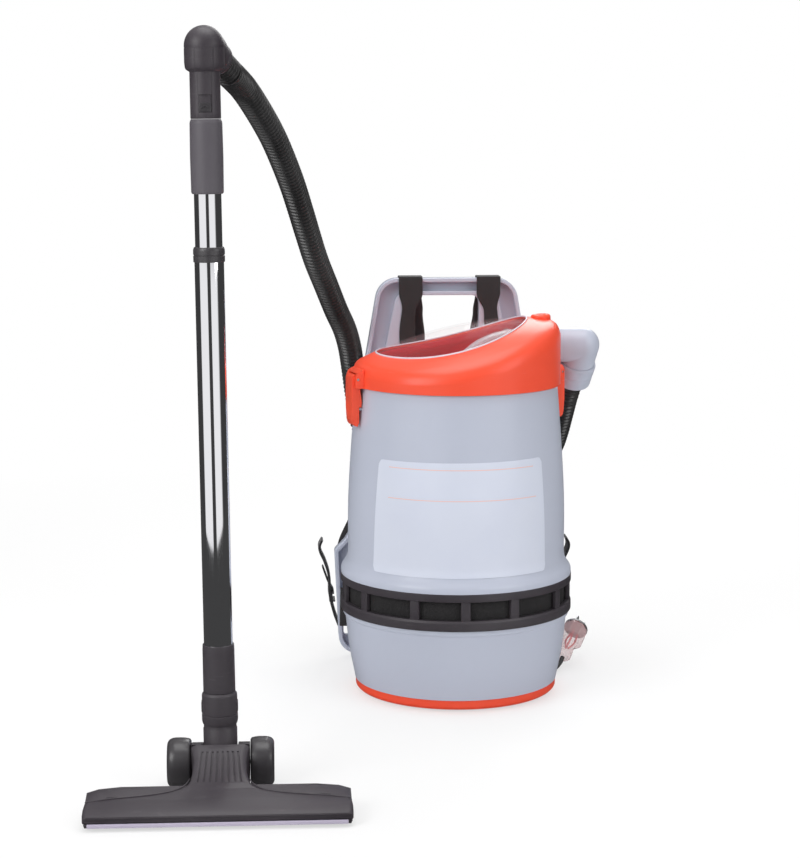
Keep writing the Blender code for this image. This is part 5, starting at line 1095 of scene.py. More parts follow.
def walled(piece, thickness):
    wall = piece.modifiers.new("wall", "SOLIDIFY")
    wall.thickness = thickness
    wall.offset = -1.0


def turnedOut(bm):
    # faces point away from the lid's middle before the wall gets its thickness
    bmesh.ops.recalc_face_normals(bm, faces=bm.faces)
    middle = Vector((0, 0, lidZ))
    if sum(face.normal.dot(face.calc_center_median() - middle) for face in bm.faces) < 0:
        bmesh.ops.reverse_faces(bm, faces=bm.faces)
    return bm


def addLidShell():
    base = [polar(lidRadius, angle, lidZ) for angle in roundTurn(lidSizes["around"])]
    side = lidRing(lidRadius, lidSizes["wall"])
    shoulder = lidRing(lidSizes["shoulder"][0], lidSizes["shoulder"][1:])
    crown = lidRing(lidSizes["crown"][0], lidSizes["crown"][1:])
    rim = windowRing(1.0, 0.0006)
    rings = [base]
    # from one ring towards the next, in (share, lift) steps
    for first, second, steps in (
            (base, side, ((0.02, 0), (0.45, 0), (0.90, 0))),
            (side, shoulder, ((0.02, 0.0002), (0.35, 0.0009), (0.70, 0.0009))),
            (shoulder, crown, ((0.10, 0.0002), (0.50, 0.0006), (0.90, 0.0001))),
            (crown, rim, ((0.12, 0), (0.50, 0), (0.93, 0), (1.0, -0.0006)))):
        rings += [between(first, second, share, lift) for share, lift in steps]
    shell = shaped("lidShell", turnedOut(lofted(rings, None, False, False)), orange, "lid",
                   ["lid_shell"], flipped=False, sharp=50)
    walled(shell, shellThick)
    inner = [between(base, side, 0.75, 0), between(base, side, 0.95, 0), shoulder, crown]
    lining = [[Vector((p.x * 0.972, p.y * 0.972, p.z - 0.0036)) for p in ring] for ring in inner]
    lining.append(windowRing(1.0, -0.0012, -0.0046))
    skin = shaped("redLining", turnedOut(lofted(lining, None, False, False)), redMoulding, "lid",
                  flipped=False, sharp=60)
    walled(skin, 0.0008)


def addBoss():
    share = (lidSizes["bossX"] - lidSizes["windowLong"]) / (
        lidSizes["crown"][0] - lidSizes["windowLong"])
    x = lidSizes["bossX"]
    z = lidLevel(x, 0) * (1 - share) + lidLevel(x, 0, lidSizes["crown"][1:]) * share
    r = lidSizes["bossRadius"]
    turn = Matrix.Translation((x, 0, z)) @ Matrix.Rotation(-math.atan(0.06), 4, "Y")
    bm = spun(eased([(0, 0.0028), (r * 0.45, 0.0028, 0.0006), (r * 0.55, 0.0045, 0.0010),
                     (r * 0.85, 0.0045, 0.0014), (r, 0.0015, 0.0008), (r, -0.004), (0, -0.004)]),
              64, turn=turn)
    shaped("lidBoss", bm, orange, "lid")


def addWindow():
    high = lidSizes["windowCrown"]
    rings = [windowRing(share, -seam, high * (1 - share ** 2))
             for share in (1.0, 0.985, 0.95, 0.88, 0.78, 0.66, 0.52, 0.38, 0.24, 0.12, 0.03)]
    dome = shaped("lidWindow", turnedOut(lofted(rings, None, False, True)), window, "lid",
                  ["lid_window"], flipped=False, sharp=60)
    walled(dome, 0.0025)
    # a thin pale ring round the window: a painted highlight standing for light on the clear dome's edge
    rim = bmesh.new()
    lofted([windowRing(1.0, grow, lift) for grow, lift in (
        (-0.0006, 0.0002), (0.0000, 0.0011), (0.0012, 0.0011), (0.0018, 0.0006),
        (0.0018, -0.0004), (-0.0006, -0.0006), (-0.0006, 0.0002))], rim, False, False)
    shaped("windowEdge", rim, paintedEdgeHighlight, "lid", slot="clear_plastic", sharp=60)


def addLiner():
    inner = lidRadius - 0.0033
    low = lidZ + 0.0043
    mouth = ductRoute()[-1]
    bm = bmesh.new()
    spun(eased([(0.0270, low + 0.0020), (0.070, low + 0.0022), (0.095, low + 0.0032, 0.004),
                (inner - 0.010, low + 0.0050, 0.003), (inner - 0.002, low + 0.0090, 0.002),
                (inner - 0.001, low + 0.0090), (inner - 0.001, low), (0.0270, low)]), 96, bm)
    for vert in bm.verts:
        # the hole in its middle moves under the duct's mouth
        vert.co.x += mouth.x * 1.8 * max(0.0, 1 - math.hypot(vert.co.x, vert.co.y) / 0.06)
    for k in range(12):
        turn = Matrix.Rotation(math.radians(15 + 30 * k), 4, "Z")
        boxAt(bm, (0.066, 0.0022, 0.0090), turn @ Vector((0.098, 0, low + 0.0062)), turn, 0.0006)
    shaped("redMoulding", bm, redMoulding, "lid", ["lid_liner"])


bagSizes = {"top": 0.4215, "bottom": 0.2240, "rim": 0.1270, "foot": 0.098, "cloth": 0.0012,
            "sides": 180, "levels": 40}


def bagRing(level, inside):
    size = bagSizes
    down = (size["top"] - level) / (size["top"] - size["bottom"])
    slack = math.sin(math.pi * min(1.0, down * 1.05)) ** 0.8
    ring = []
    for angle in roundTurn(size["sides"]):
        fold = (0.50 * math.cos(7 * angle + 1.3 * down) + 0.30 * math.cos(13 * angle - 2.6 * down)
                + 0.20 * math.cos(23 * angle + 6 * down))
        crease = 0.6 * math.sin(26 * down + 2.2 * math.cos(3 * angle)) * slack
        radius = size["rim"] + (size["foot"] - size["rim"]) * down ** 3
        radius -= (0.0065 - 0.0060 * fold - 0.0022 * crease) * slack
        radius -= 0.030 * max(0.0, down - 0.90) / 0.10
        radius -= inside * size["cloth"]
        drop = 0.003 * fold * slack
        ring.append(Vector((radius * math.cos(angle), radius * math.sin(angle),
                            level + drop + inside * size["cloth"] * down)))
    return ring


def addBag():
    size = bagSizes
    heights = [size["top"] + (size["bottom"] - size["top"]) * k / size["levels"]
               for k in range(size["levels"] + 1)]
    rings = [bagRing(z, 1) for z in reversed(heights)] + [bagRing(z, 0) for z in heights]
    shaped("filterBagCloth", lofted(rings), filterCloth, drumBody, ["filter_bag"], sharp=70)


def ductRoute():
    end = lidRadius * 0.80 - seam
    y, z = elbowCorner.y, elbowCorner.z
    return [Vector(p) for p in (
        (end, y, z), (0.098, y, z), (0.078, y * 0.86, z - 0.0010), (0.058, y * 0.62, z - 0.0045),
        (0.040, y * 0.38, z - 0.0115), (0.0265, y * 0.17, z - 0.0205),
        (0.0185, y * 0.04, z - 0.0290), (0.0160, 0.0, z - 0.0355), (0.0160, 0.0, lidZ + 0.004))]


def addDuct():
    path, _ = smoothRoute(ductRoute(), 0.003)
    shaped("clearDuct", swept(path, 0.0235, 48, inner=0.0215), ductClear, "lid",
           ["inlet_duct"], slot="clear_plastic", sharp=60)
    rings = bmesh.new()
    for share in (0.12, 0.30, 0.86):
        spot = int(share * len(path))
        way = path[spot + 1] - path[spot]
        spun([(0.0236, -0.0012), (0.0250, -0.0008), (0.0250, 0.0008), (0.0236, 0.0012)], 48,
             rings, alongWay(path[spot], way))
    shaped("ductRings", rings, ductClear, "lid", slot="clear_plastic", sharp=60)


def addElbow():
    r = lidSizes["pipe"]
    start = Vector((lidRadius * 0.80, elbowCorner.y, elbowCorner.z))
    bm = swept([start, elbowCorner], r, 72)
    bmesh.ops.create_uvsphere(bm, u_segments=72, v_segments=36, radius=r,
                              matrix=alongWay(elbowCorner, elbowDown))
    swept([elbowCorner, cuffStart - elbowDown * seam], r, 72, bm)
    swept([elbowCorner, cuffStart + elbowDown * 0.014], r - shellThick, 72, bm)
    spun([(r, -0.0014), (r + 0.0016, -0.0010), (r + 0.0016, 0.0010), (r, 0.0014)], 72, bm,
         alongWay(Vector((0.1462, elbowCorner.y, elbowCorner.z)), (1, 0, 0)))
    shaped("inletElbow", bm, grey, "lid", ["inlet_elbow"], sharp=50)
    r = 0.0278
    cuff = spun(eased([(r - 0.003, 0.037, 0.001), (r - 0.0008, 0.0352, 0.001),
                       (r - 0.0006, 0.0190), (r - 0.0012, 0.0184), (r - 0.0012, 0.0170),
                       (r - 0.0004, 0.0164), (r, 0.0040, 0.0012), (r - 0.002, 0.0, 0.0010),
                       (0.0224, 0.0), (0.0224, 0.015), (0.0176, 0.018), (0.0176, 0.037)]),
                72, turn=alongWay(cuffStart, elbowDown))
    shaped("elbowCuff", cuff, grey, "elbow_cuff", ["elbow_cuff"])


def latchTurn(way):
    angle = latchSizes["angle"] + (0 if way > 0 else math.pi)
    return Matrix.Rotation(angle, 4, "Z")


def addLatches():
    size = latchSizes
    clearance = 0.0010
    hook = 0.002 + clearance
    end = pivotZ - size["reach"]
    low = radiusAt(drumSide, end)
    catchRadius = radiusAt(drumSide, catchZ) + size["catchDeep"] + clearance
    inner = [(size["pivotRadius"] - size["barrel"] * 0.85, pivotZ - 0.003),
             (lidRadius + clearance, lidZ + 0.004), (lidRadius + clearance, lidZ - 0.002),
             (radiusAt(drumSide, catchZ + 0.010) + clearance, catchZ + 0.010),
             (radiusAt(drumSide, catchZ + hook) + clearance, catchZ + hook),
             (catchRadius, catchZ + hook), (catchRadius, end + 0.006)]
    outer = [(low + 0.0042, end), (low + 0.0080, end + 0.0010), (low + 0.0103, end + 0.004),
             (low + size["thick"], end + 0.009), (low + size["thick"] + 0.0008, end + 0.026),
             (size["pivotRadius"] + size["barrel"] + 0.0004, pivotZ - 0.016)]
    cap = [(size["pivotRadius"] + size["barrel"] * math.cos(math.radians(a)),
            pivotZ + size["barrel"] * math.sin(math.radians(a))) for a in range(0, 181, 12)]
    root, out = lidRadius - 0.0018, lidRadius + size["housingOut"]
    top = lidZ + size["housingRise"]
    cheek = [(root, lidZ), (out - 0.0015, lidZ), (out, lidZ + 0.0015), (out, top - 0.012),
             (out - 0.001, top - 0.008), (out - 0.003, top - 0.004), (root, top)]
    bridge = [(root, top - 0.0056), (out - 0.0022, top - 0.0056), (out - 0.003, top - 0.004),
              (root, top)]
    slot = size["width"] / 2 + 0.0008
    for way, side in ((1, "right"), (-1, "left")):
        turn = latchTurn(way)
        shaped(f"{side}Latch", prism(bmesh.new(), inner + outer + cap, size["width"] / 2, turn,
                                     0.0009),
               orange, f"latch_{side}", [f"latch_{side}"])
        bm = bmesh.new()
        thick = (size["housing"] / 2 - slot) / 2
        for edge in (1, -1):
            prism(bm, cheek, thick, turn @ Matrix.Translation((0, edge * (slot + thick), 0)),
                  0.0009)
        prism(bm, bridge, slot + 0.001, turn, 0.0006)
        shaped(f"{side}LatchHousing", bm, orange, "lid")


addLidShell()
addBoss()
addWindow()
addDuct()
addLiner()
addBag()
addElbow()
addLatches()
print("lid ready")

# harness frame, pads, straps and belt

harness = {"strapX": 0.0574, "strapShift": 0.0038, "strapWide": 0.036, "webbing": 0.0022,
           "padHalf": 0.085, "padLow": 0.205, "padHigh": 0.445, "lumbarHalf": 0.150,
           "lumbarLow": 0.030, "lumbarHigh": 0.150, "padDeep": 0.017, "plateHalf": 0.167,
           "stripWide": 0.022}


def roundCorners(corners, steps=10):
    # (u, v, radius) corners become an outline with arcs
    outline = []
    for index, (u, v, radius) in enumerate(corners):
        here = Vector((u, v))
        back = (Vector(corners[index - 1][:2]) - here).normalized()
        ahead = (Vector(corners[(index + 1) % len(corners)][:2]) - here).normalized()
        half = back.angle(ahead) / 2
        centre = here + (back + ahead).normalized() * (radius / math.sin(half))
        start = here + back * (radius / math.tan(half)) - centre
        turn = math.pi - 2 * half
        if start.x * ahead.y - start.y * ahead.x < 0:
            turn = -turn
        for step in range(steps + 1):
            a = turn * step / steps
            outline.append((centre.x + start.x * math.cos(a) - start.y * math.sin(a),
                            centre.y + start.x * math.sin(a) + start.y * math.cos(a)))
    return outline


def bothSides(half):
    return half + [(-u, v, radius) for u, v, radius in reversed(half)]


def drawnIn(corners, distance):
    moved = []
    for index, (u, v, radius) in enumerate(corners):
        here = Vector((u, v))
        before = (here - Vector(corners[index - 1][:2])).normalized()
        after = (Vector(corners[(index + 1) % len(corners)][:2]) - here).normalized()
        normals = [Vector((-side.y, side.x)) for side in (before, after)]
        middle = (normals[0] + normals[1]).normalized()
        step = distance / max(middle.dot(normals[0]), 0.2)
        moved.append((u + middle.x * step, v + middle.y * step, max(radius - distance, 0.001)))
    return moved


def addPlate2D(bm, outlines, front, back, edge):
    # a plate with its holes, between two depths, with rounded edges
    curve = bpy.data.curves.new("plate", "CURVE")
    curve.dimensions = "2D"
    curve.fill_mode = "BOTH"
    curve.extrude = (back - front) / 2 - edge
    curve.bevel_depth = edge
    curve.bevel_resolution = 2
    curve.offset = -edge
    for outline in outlines:
        spline = curve.splines.new("POLY")
        spline.points.add(len(outline) - 1)
        for point, (u, v) in zip(spline.points, outline):
            point.co = (u, v, 0.0, 1.0)
        spline.use_cyclic_u = True
    plate = linked("plate", curve)
    bpy.context.view_layer.update()
    graph = bpy.context.evaluated_depsgraph_get()
    mesh = bpy.data.meshes.new_from_object(plate.evaluated_get(graph))
    mesh.transform(Matrix.Translation((0, (front + back) / 2, 0))
                   @ Matrix.Rotation(math.pi / 2, 4, "X"))
    bpy.data.objects.remove(plate, do_unlink=True)
    bm.from_mesh(mesh)
    bpy.data.meshes.remove(mesh)


def addFrame():
    half = harness["plateHalf"]
    plateTop, rim, deep = 0.179, 0.006, 0.013
    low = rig.box("harness_frame")[0][2]
    corners = bothSides([
        (half - 0.007, low, 0.028), (half, plateTop - 0.015, 0.008),
        (half - 0.015, plateTop, 0.010), (0.130, plateTop + 0.036, 0.030),
        (0.1220, 0.440, 0.060), (0.100, frameTop, 0.033)])
    gripLow = frameTop - 0.025
    opening = bothSides([(0.0475, 0.468, 0.012), (0.0475, gripLow, 0.012)])
    island = bothSides([
        (half - 0.030, low + 0.024, 0.020), (half - 0.027, plateTop - 0.034, 0.010),
        (half - 0.040, plateTop - 0.018, 0.010), (0.104, plateTop + 0.020, 0.020),
        (0.096, 0.440, 0.050), (0.074, gripLow + rim, 0.022)])
    slots = [roundCorners([
        (way * (half - 0.0190) + u, 0.070 + v, 0.004) for u, v in (
            (-0.0055, -0.038), (0.0055, -0.038), (0.0055, 0.038), (-0.0055, 0.038))], 4)
        for way in (-1, 1)]
    outer, hole = roundCorners(corners), roundCorners(opening)
    bm = bmesh.new()
    addPlate2D(bm, [outer, hole] + slots, frameFront + deep, frameBack, 0.0010)
    addPlate2D(bm, [outer, roundCorners(drawnIn(corners, rim))], frameFront, frameBack - 0.002,
               0.0010)
    addPlate2D(bm, [roundCorners(island), hole], frameFront, frameBack - 0.002, 0.0010)
    for way in (-1, 1):
        for k in range(4):
            spot = (way * 0.1105, frameFront + 0.0150, 0.250 + 0.055 * k)
            boxAt(bm, (0.016, 0.010, 0.0030), spot, None, 0.0006)
    shaped("harnessFrame", bm, grey, drumBody, ["harness_frame"], sharp=40)
    softened("upperBracket", "bracket_upper", grey, drumBody, 0.0010, 2, 50)
    softened("lowerBracket", "bracket_lower", grey, drumBody, 0.0010, 2, 50)
    bolts = bmesh.new()
    for x, z in ((-0.035, 0.3875), (0.035, 0.3875), (-0.050, 0.070), (0.050, 0.070)):
        spun(eased([(0, 0.0006), (0.0018, 0.0006), (0.0022, 0.0018), (0.0044, 0.0018, 0.0008),
                    (0.0048, -0.0002), (0, -0.0002)]), 24, bolts,
             alongWay((x, frameBack, z), (0, 1, 0)))
    shaped("frameScrews", bolts, steel, drumBody)


def swollen(mesh, settings):
    # the cloth recipe: remesh, a short pressure run, a cap on how far points may move
    remesh = mesh.modifiers.new("remesh", "REMESH")
    remesh.mode = "VOXEL"
    remesh.voxel_size = settings["voxel"]
    scene.view_layers[0].update()
    graph = bpy.context.evaluated_depsgraph_get()
    mesh.data = bpy.data.meshes.new_from_object(mesh.evaluated_get(graph))
    mesh.modifiers.clear()
    before = [v.co.copy() for v in mesh.data.vertices]
    blow = mesh.modifiers.new("cloth", "CLOTH")
    blow.settings.use_pressure = True
    blow.settings.uniform_pressure_force = 4.0
    blow.settings.effector_weights.gravity = 0.0
    for frameNumber in range(1, 21):
        scene.frame_set(frameNumber)
    graph = bpy.context.evaluated_depsgraph_get()
    blown = bpy.data.meshes.new_from_object(mesh.evaluated_get(graph))
    for vert, old in zip(blown.vertices, before):
        step = vert.co - old
        if step.length > settings["cap"]:
            step = step * (settings["cap"] / step.length)
        vert.co = old + step
    mesh.modifiers.clear()
    mesh.data = blown
    scene.frame_set(1)


def squared(value, power):
    # a sine or cosine drawn out, so that a round outline gets squarer
    return math.copysign(abs(value) ** power, value)


def addPad(name, node, half, low, high, channels, waist=0.045):
    # starts a little small; the channels and piping come after the swelling
    deep = harness["padDeep"]
    back = frameBack + 0.0006
    rings = []
    count = 36
    for row in range(count + 1):
        v = row / count
        z = low + 0.004 + (high - low - 0.008) * v
        end = min(v, 1 - v) * (high - low)
        narrowed = 1 - max(0.0, 1 - end / 0.022) ** 2 * 0.16
        wide = (half - 0.005) * narrowed * (1 - waist * math.sin(math.pi * v))
        thick = deep * 0.72 * (0.45 + 0.55 * min(1.0, (end / 0.02)) ** 0.5)
        ring = []
        for angle in roundTurn(32):
            x = wide * squared(math.cos(angle), 0.45)
            y = thick * 0.5 * (1 + squared(math.sin(angle), 0.6))
            ring.append(Vector((x, back + y, z)))
        rings.append(ring)
    bm = lofted(rings)
    bmesh.ops.recalc_face_normals(bm, faces=bm.faces)
    pad = linked(name, meshFrom(name, bm))
    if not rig.quick():
        swollen(pad, {"voxel": 0.005, "cap": 0.007})
    bm = bmesh.new()
    bm.from_mesh(pad.data)
    bmesh.ops.subdivide_edges(bm, edges=bm.edges, cuts=1, use_grid_fill=True, smooth=0.8)
    pitch = (high - low) / (channels + 1)
    for vert in bm.verts:
        depth = vert.co.y - back
        if depth > deep * 0.3:
            near = min(abs(vert.co.z - low - pitch * (k + 1)) for k in range(channels))
            groove = math.exp(-(near / 0.0045) ** 2) * 0.60
            across = max(0.0, 1 - (abs(vert.co.x) / (half * 0.93)) ** 10)
            rim = abs(abs(vert.co.x) - half * 0.86)
            welt = math.exp(-(rim / 0.0028) ** 2) * 0.30
            vert.co.y -= (depth - deep * 0.3) * max(groove * across, welt)
        vert.co.y = min(max(vert.co.y, back - 0.0002), back + deep + 0.002)
        vert.co.x = max(-half, min(half, vert.co.x))
    bmesh.ops.recalc_face_normals(bm, faces=bm.faces)
    bm.to_mesh(pad.data)
    bm.free()
    pad.data.shade_smooth()
    pad.data.materials.clear()
    pad.data.materials.append(padding.material)
    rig.ride(pad, drumBody)
    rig.replaces(pad, node)
    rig.slot(pad, "black_webbing")
    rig.padded(pad, 0.7)
    piping = bmesh.new()
    loop = []
    for angle in roundTurn(96):
        v = 0.5 + 0.5 * squared(math.sin(angle), 0.32)
        x = (half * 0.965) * squared(math.cos(angle), 0.32) * (1 - waist * math.sin(math.pi * v))
        loop.append(Vector((x, back + 0.0042, low + 0.0035 + (high - low - 0.007) * v)))
    loop.append(loop[0])
    swept(loop, 0.0021, 10, piping)
    shaped(f"{name}Piping", piping, cloth, drumBody, sharp=80)


def addRibbon(name, stations, nodeNames=()):
    # webbing along (centre, width, thickness, width direction) stations
    centres, _ = smoothRoute([s[0] for s in stations], 0.003)
    marks = [0.0]
    for a, b in zip(stations, stations[1:]):
        marks.append(marks[-1] + (Vector(b[0]) - Vector(a[0])).length)
    rings, runs = [], []
    for index, centre in enumerate(centres):
        want = marks[-1] * index / (len(centres) - 1)
        k = min(max(sum(1 for m in marks if m <= want) - 1, 0), len(stations) - 2)
        share = (want - marks[k]) / max(marks[k + 1] - marks[k], 1e-9)
        share = min(max(share, 0), 1)
        share = share * share * (3 - 2 * share)
        wide = stations[k][1] * (1 - share) + stations[k + 1][1] * share
        thick = stations[k][2] * (1 - share) + stations[k + 1][2] * share
        across = Vector(stations[k][3]).lerp(Vector(stations[k + 1][3]), share)
        before, after = centres[max(index - 1, 0)], centres[min(index + 1, len(centres) - 1)]
        along = (after - before).normalized()
        across = (across - along * across.dot(along)).normalized()
        up = along.cross(across)
        edge = min(thick * 0.5, wide * 0.18)
        half, top = wide / 2, thick / 2
        outline = [(half, 0), (half - edge * 0.3, top * 0.70), (half - edge, top)]
        steps = 8
        outline += [(half - edge - (wide - 2 * edge) * s / steps, top * (1 + 0.12 * math.sin(
            math.pi * s / steps) * (thick > 0.006))) for s in range(1, steps)]
        outline += [(-half + edge, top), (-half + edge * 0.3, top * 0.70), (-half, 0),
                    (-half + edge * 0.3, -top * 0.70), (-half + edge, -top),
                    (half - edge, -top), (half - edge * 0.3, -top * 0.70)]
        rings.append([centre + across * u + up * v for u, v in outline])
        runs.append((want, [u for u, _ in outline]))

    def weave(number, index):
        return Vector((runs[number][1][index], runs[number][0], 0))

    return shaped(name, lofted(rings, weave=weave), cloth, drumBody, nodeNames, sharp=60)


def addStraps():
    web = harness["webbing"]
    front = frameFront - seam - web / 2
    back = frameBack + seam + web / 2
    fold = web * 0.8
    wide = harness["strapWide"] - 0.001
    thin = wide * 0.66
    for way, side in ((-1, "left"), (1, "right")):
        across, tilted = Vector((way, 0, 0)), Vector((way, 0, 0.55))
        x = way * harness["strapX"] + harness["strapShift"]
        addRibbon(f"{side}ShoulderStrap", [
            *[((x + way * out, front, z), width, web, across) for out, z, width in (
                (0.004, 0.452, thin), (0.005, 0.490, thin), (0.003, 0.522, thin * 0.86),
                (0.0, 0.546, wide))],
            *[((x, frameFront - fold * math.cos(a), frameTop + fold * math.sin(a)), wide, web,
               across) for a in (0, math.pi / 4, math.pi / 2)],
            *[((x, frameBack + fold * math.sin(a), frameTop + fold * math.cos(a)), wide, web,
               across) for a in (0, math.pi / 4, math.pi / 2)],
            ((x, back, frameTop - 0.030), wide, web, across),
            *[((x + way * out, back + proud, z), wide * share, thick, lean)
              for out, proud, z, share, thick, lean in (
                  (0.001, 0.0080, 0.515, 1.20, 0.008, across),
                  (0.003, 0.0235, 0.470, 1.55, 0.012, across),
                  (0.008, 0.0265, 0.400, 1.55, 0.012, across),
                  (0.018, 0.0260, 0.340, 1.45, 0.012, across),
                  (0.036, 0.0225, 0.285, 1.25, 0.010, tilted),
                  (0.054, 0.0120, 0.245, 0.97, 0.005, tilted),
                  (0.072, 0.0040, 0.212, 0.87, 0.003, tilted),
                  (0.089, 0.0004, 0.178, 0.87, web, tilted),
                  (0.094, 0.0004, 0.163, 0.87, web, tilted))]], [f"shoulder_strap_{side}"])
        y = back + 0.0160
        edge = way * (harness["plateHalf"] + 0.0035)
        deep = Vector((0, 1, 0))
        addRibbon(f"{side}HipBelt", [
            ((way * (harness["plateHalf"] - 0.011), y, 0.034), 0.034, 0.004, deep),
            ((way * (harness["plateHalf"] - 0.005), y, 0.048), 0.034, 0.004, deep),
            *[((edge + way * out, y, z), width, thick, deep) for out, z, width, thick in (
                (-0.003, 0.064, 0.034, 0.004), (0.003, 0.090, 0.034, 0.004),
                (0.004, 0.118, 0.034, 0.004), (0.010, 0.140, 0.032, 0.004),
                (0.017, 0.156, 0.030, 0.004), (0.018, 0.165, 0.030, 0.004),
                (0.014, 0.174, 0.030, 0.003))]], [f"hip_belt_{side}"])


def addHipStraps():
    # the belt's webbing where it shows through the gap beside the drum
    addRibbon("hipStrap", [
        ((x, frameFront - proud, z), harness["stripWide"], harness["webbing"], Vector((1, 0, 0)))
        for x, proud, z in ((-0.1490, 0.0060, 0.050), (-0.1485, 0.0050, 0.070),
                            (-0.1480, 0.0040, 0.090), (-0.1475, 0.0040, 0.108))])


def addBeltTail():
    deep = Vector((0, 1, 0))
    y = frameBack + 0.0180
    edge = -(harness["plateHalf"] + 0.0035)
    addRibbon("leftBeltTail", [
        ((edge + x, y, z), wide, harness["webbing"], deep)
        for x, z, wide in ((0.0020, 0.096, 0.024), (-0.0055, 0.110, 0.024),
                           (-0.0100, 0.122, 0.023), (-0.0135, 0.132, 0.022))])
    bm = bmesh.new()
    for x, z in ((-0.0010, 0.093), (0.0006, 0.081)):
        boxAt(bm, (0.0090, 0.028, 0.0030), (edge + x, y, z), None, 0.0008)
    for across in (-0.0122, 0.0122):
        boxAt(bm, (0.0030, 0.0036, 0.014), (edge - 0.0004, y + across, 0.087), None, 0.0006)
    shaped("leftBuckle", bm, black, drumBody)


addHipStraps()
addBeltTail()
addFrame()
addPad("backPad", "back_pad", harness["padHalf"], harness["padLow"], harness["padHigh"], 3)
addPad("lumbarPad", "lumbar_pad", harness["lumbarHalf"], harness["lumbarLow"],
       harness["lumbarHigh"], 1, 0.02)
addStraps()
print("harness ready")

# switch

switchSizes = {"angle": math.radians(148), "height": 0.070, "wide": 0.030, "tall": 0.024,
               "rockerWide": 0.022, "rockerTall": 0.016}


def addSwitch():
    size = switchSizes
    spot = polar(radiusAt(lowerSide, size["height"]), size["angle"], size["height"])
    turn = Matrix.Rotation(size["angle"], 4, "Z")
    seat = Matrix.Translation(spot) @ turn
    bm = bmesh.new()
    gapY, gapZ = size["rockerWide"] / 2 + 0.0008, size["rockerTall"] / 2 + 0.0008
    halfY, halfZ = size["wide"] / 2, size["tall"] / 2
    for y, z, wide, tall in ((0, (gapZ + halfZ) / 2, 2 * halfY, halfZ - gapZ),
                             ((gapY + halfY) / 2, 0, halfY - gapY, 2 * gapZ + 0.001)):
        for way in (1, -1):
            boxAt(bm, (0.0065, wide, tall), seat @ Vector((0.00175, way * y, way * z)), turn,
                  0.0007)
    shaped("switchBezel", bm, black, drumBody, ["switch_body"])
    pivot = Matrix.Translation(seat @ Vector((0.0005, 0, 0))) @ turn
    half = size["rockerTall"] / 2
    outline = [(0.0014, -half * 0.75), (0.0045, -half), (0.0072, -half), (0.0056, -half * 0.45),
               (0.0050, 0.0), (0.0056, half * 0.45), (0.0072, half), (0.0045, half),
               (0.0014, half * 0.75)]
    lean = Matrix.Rotation(math.radians(7), 4, "Y")
    shaped("switchRocker", prism(bmesh.new(), outline, size["rockerWide"] / 2, pivot @ lean,
                                 0.0005),
           redMoulding, "switch_rocker", ["switch_rocker"])


addSwitch()

# wand

wand = {"neckTop": 0.1775, "neckLow": 0.119, "tubeLow": 0.1515, "tubeTop": 0.641,
        "collarTop": 0.654, "gripLow": 0.7157, "gripLong": 0.0865,
        "handleTop": 0.8567, "dome": 0.8857, "tube": 0.0173, "upper": 0.0160,
        "grip": 0.0190, "handle": 0.0178, "skirt": 0.0235}


def addWandTubes():
    size = wand
    neck = spun(eased([(0.01885, size["neckTop"], 0.0012), (0.0192, size["neckTop"] - 0.006),
                       (0.01935, size["neckLow"] + seam, 0.001), (0.0165, size["neckLow"]),
                       (0.0165, size["neckLow"] - 0.020), (0.0145, size["neckLow"] - 0.020),
                       (0.0145, size["tubeLow"] - seam), (0.0176, size["tubeLow"] - seam),
                       (0.0176, size["neckTop"])]), 96, turn=wandTurn)
    shaped("neckSleeve", neck, black, drumBody, ["neck_sleeve"])
    r = size["tube"]
    tube = spun(eased([(r, size["tubeTop"], 0.0004), (r, size["tubeLow"]),
                       (r - 0.001, size["tubeLow"]), (r - 0.001, size["tubeTop"], 0.0004)]),
                96, turn=wandTurn)
    shaped("lowerTube", tube, chrome, drumBody, ["lower_tube"])
    top = size["gripLow"] + size["gripLong"] - 0.010
    r = size["upper"]
    tube = spun([(r, top), (r, top - 0.560), (r - 0.001, top - 0.560), (r - 0.001, top)], 96,
                turn=wandTurn)
    shaped("upperTube", tube, chrome, "wand_handle", ["upper_tube"])
    top = size["collarTop"]
    collar = spun(eased([(0.0173, top, 0.0008), (0.0186, top - 0.0030, 0.0012),
                         (0.0186, top - 0.0086), (0.0180, top - 0.0090), (0.0180, top - 0.0100),
                         (0.0186, top - 0.0104), (0.0185, top - 0.0175, 0.0010),
                         (0.0176, top - 0.0175), (0.0176, top - 0.0030), (0.0163, top - 0.0030),
                         (0.0163, top)]), 96, turn=wandTurn)
    shaped("tubeCollar", collar, gloss, "tube_lock", ["tube_collar"])


def pocketed(bm, profile, pocket, sides=72, turn=None):
    # a turned wall whose front has a shallow recess
    half = math.asin(pocket["wide"] / 2 / pocket["radius"])
    front = {-math.pi / 2 + share * half for share in (-1.02, -1.0, -0.5, 0, 0.5, 1.0, 1.02)}
    around = {angle for angle in roundTurn(sides)
              if abs((angle + 1.5 * math.pi) % (2 * math.pi) - math.pi) > half * 1.1}
    angles = sorted(front | around)
    rings = []
    for radius, height in profile:
        ring = []
        for angle in angles:
            within = (abs(angle + math.pi / 2) <= half * 1.001
                      and pocket["low"] <= height <= pocket["high"])
            point = polar(radius, angle, height)
            if within:
                point = Vector((point.x, -(pocket["radius"] - pocket["deep"]), height))
            ring.append(turn @ point)
        rings.append(ring)
    return lofted(rings, bm)


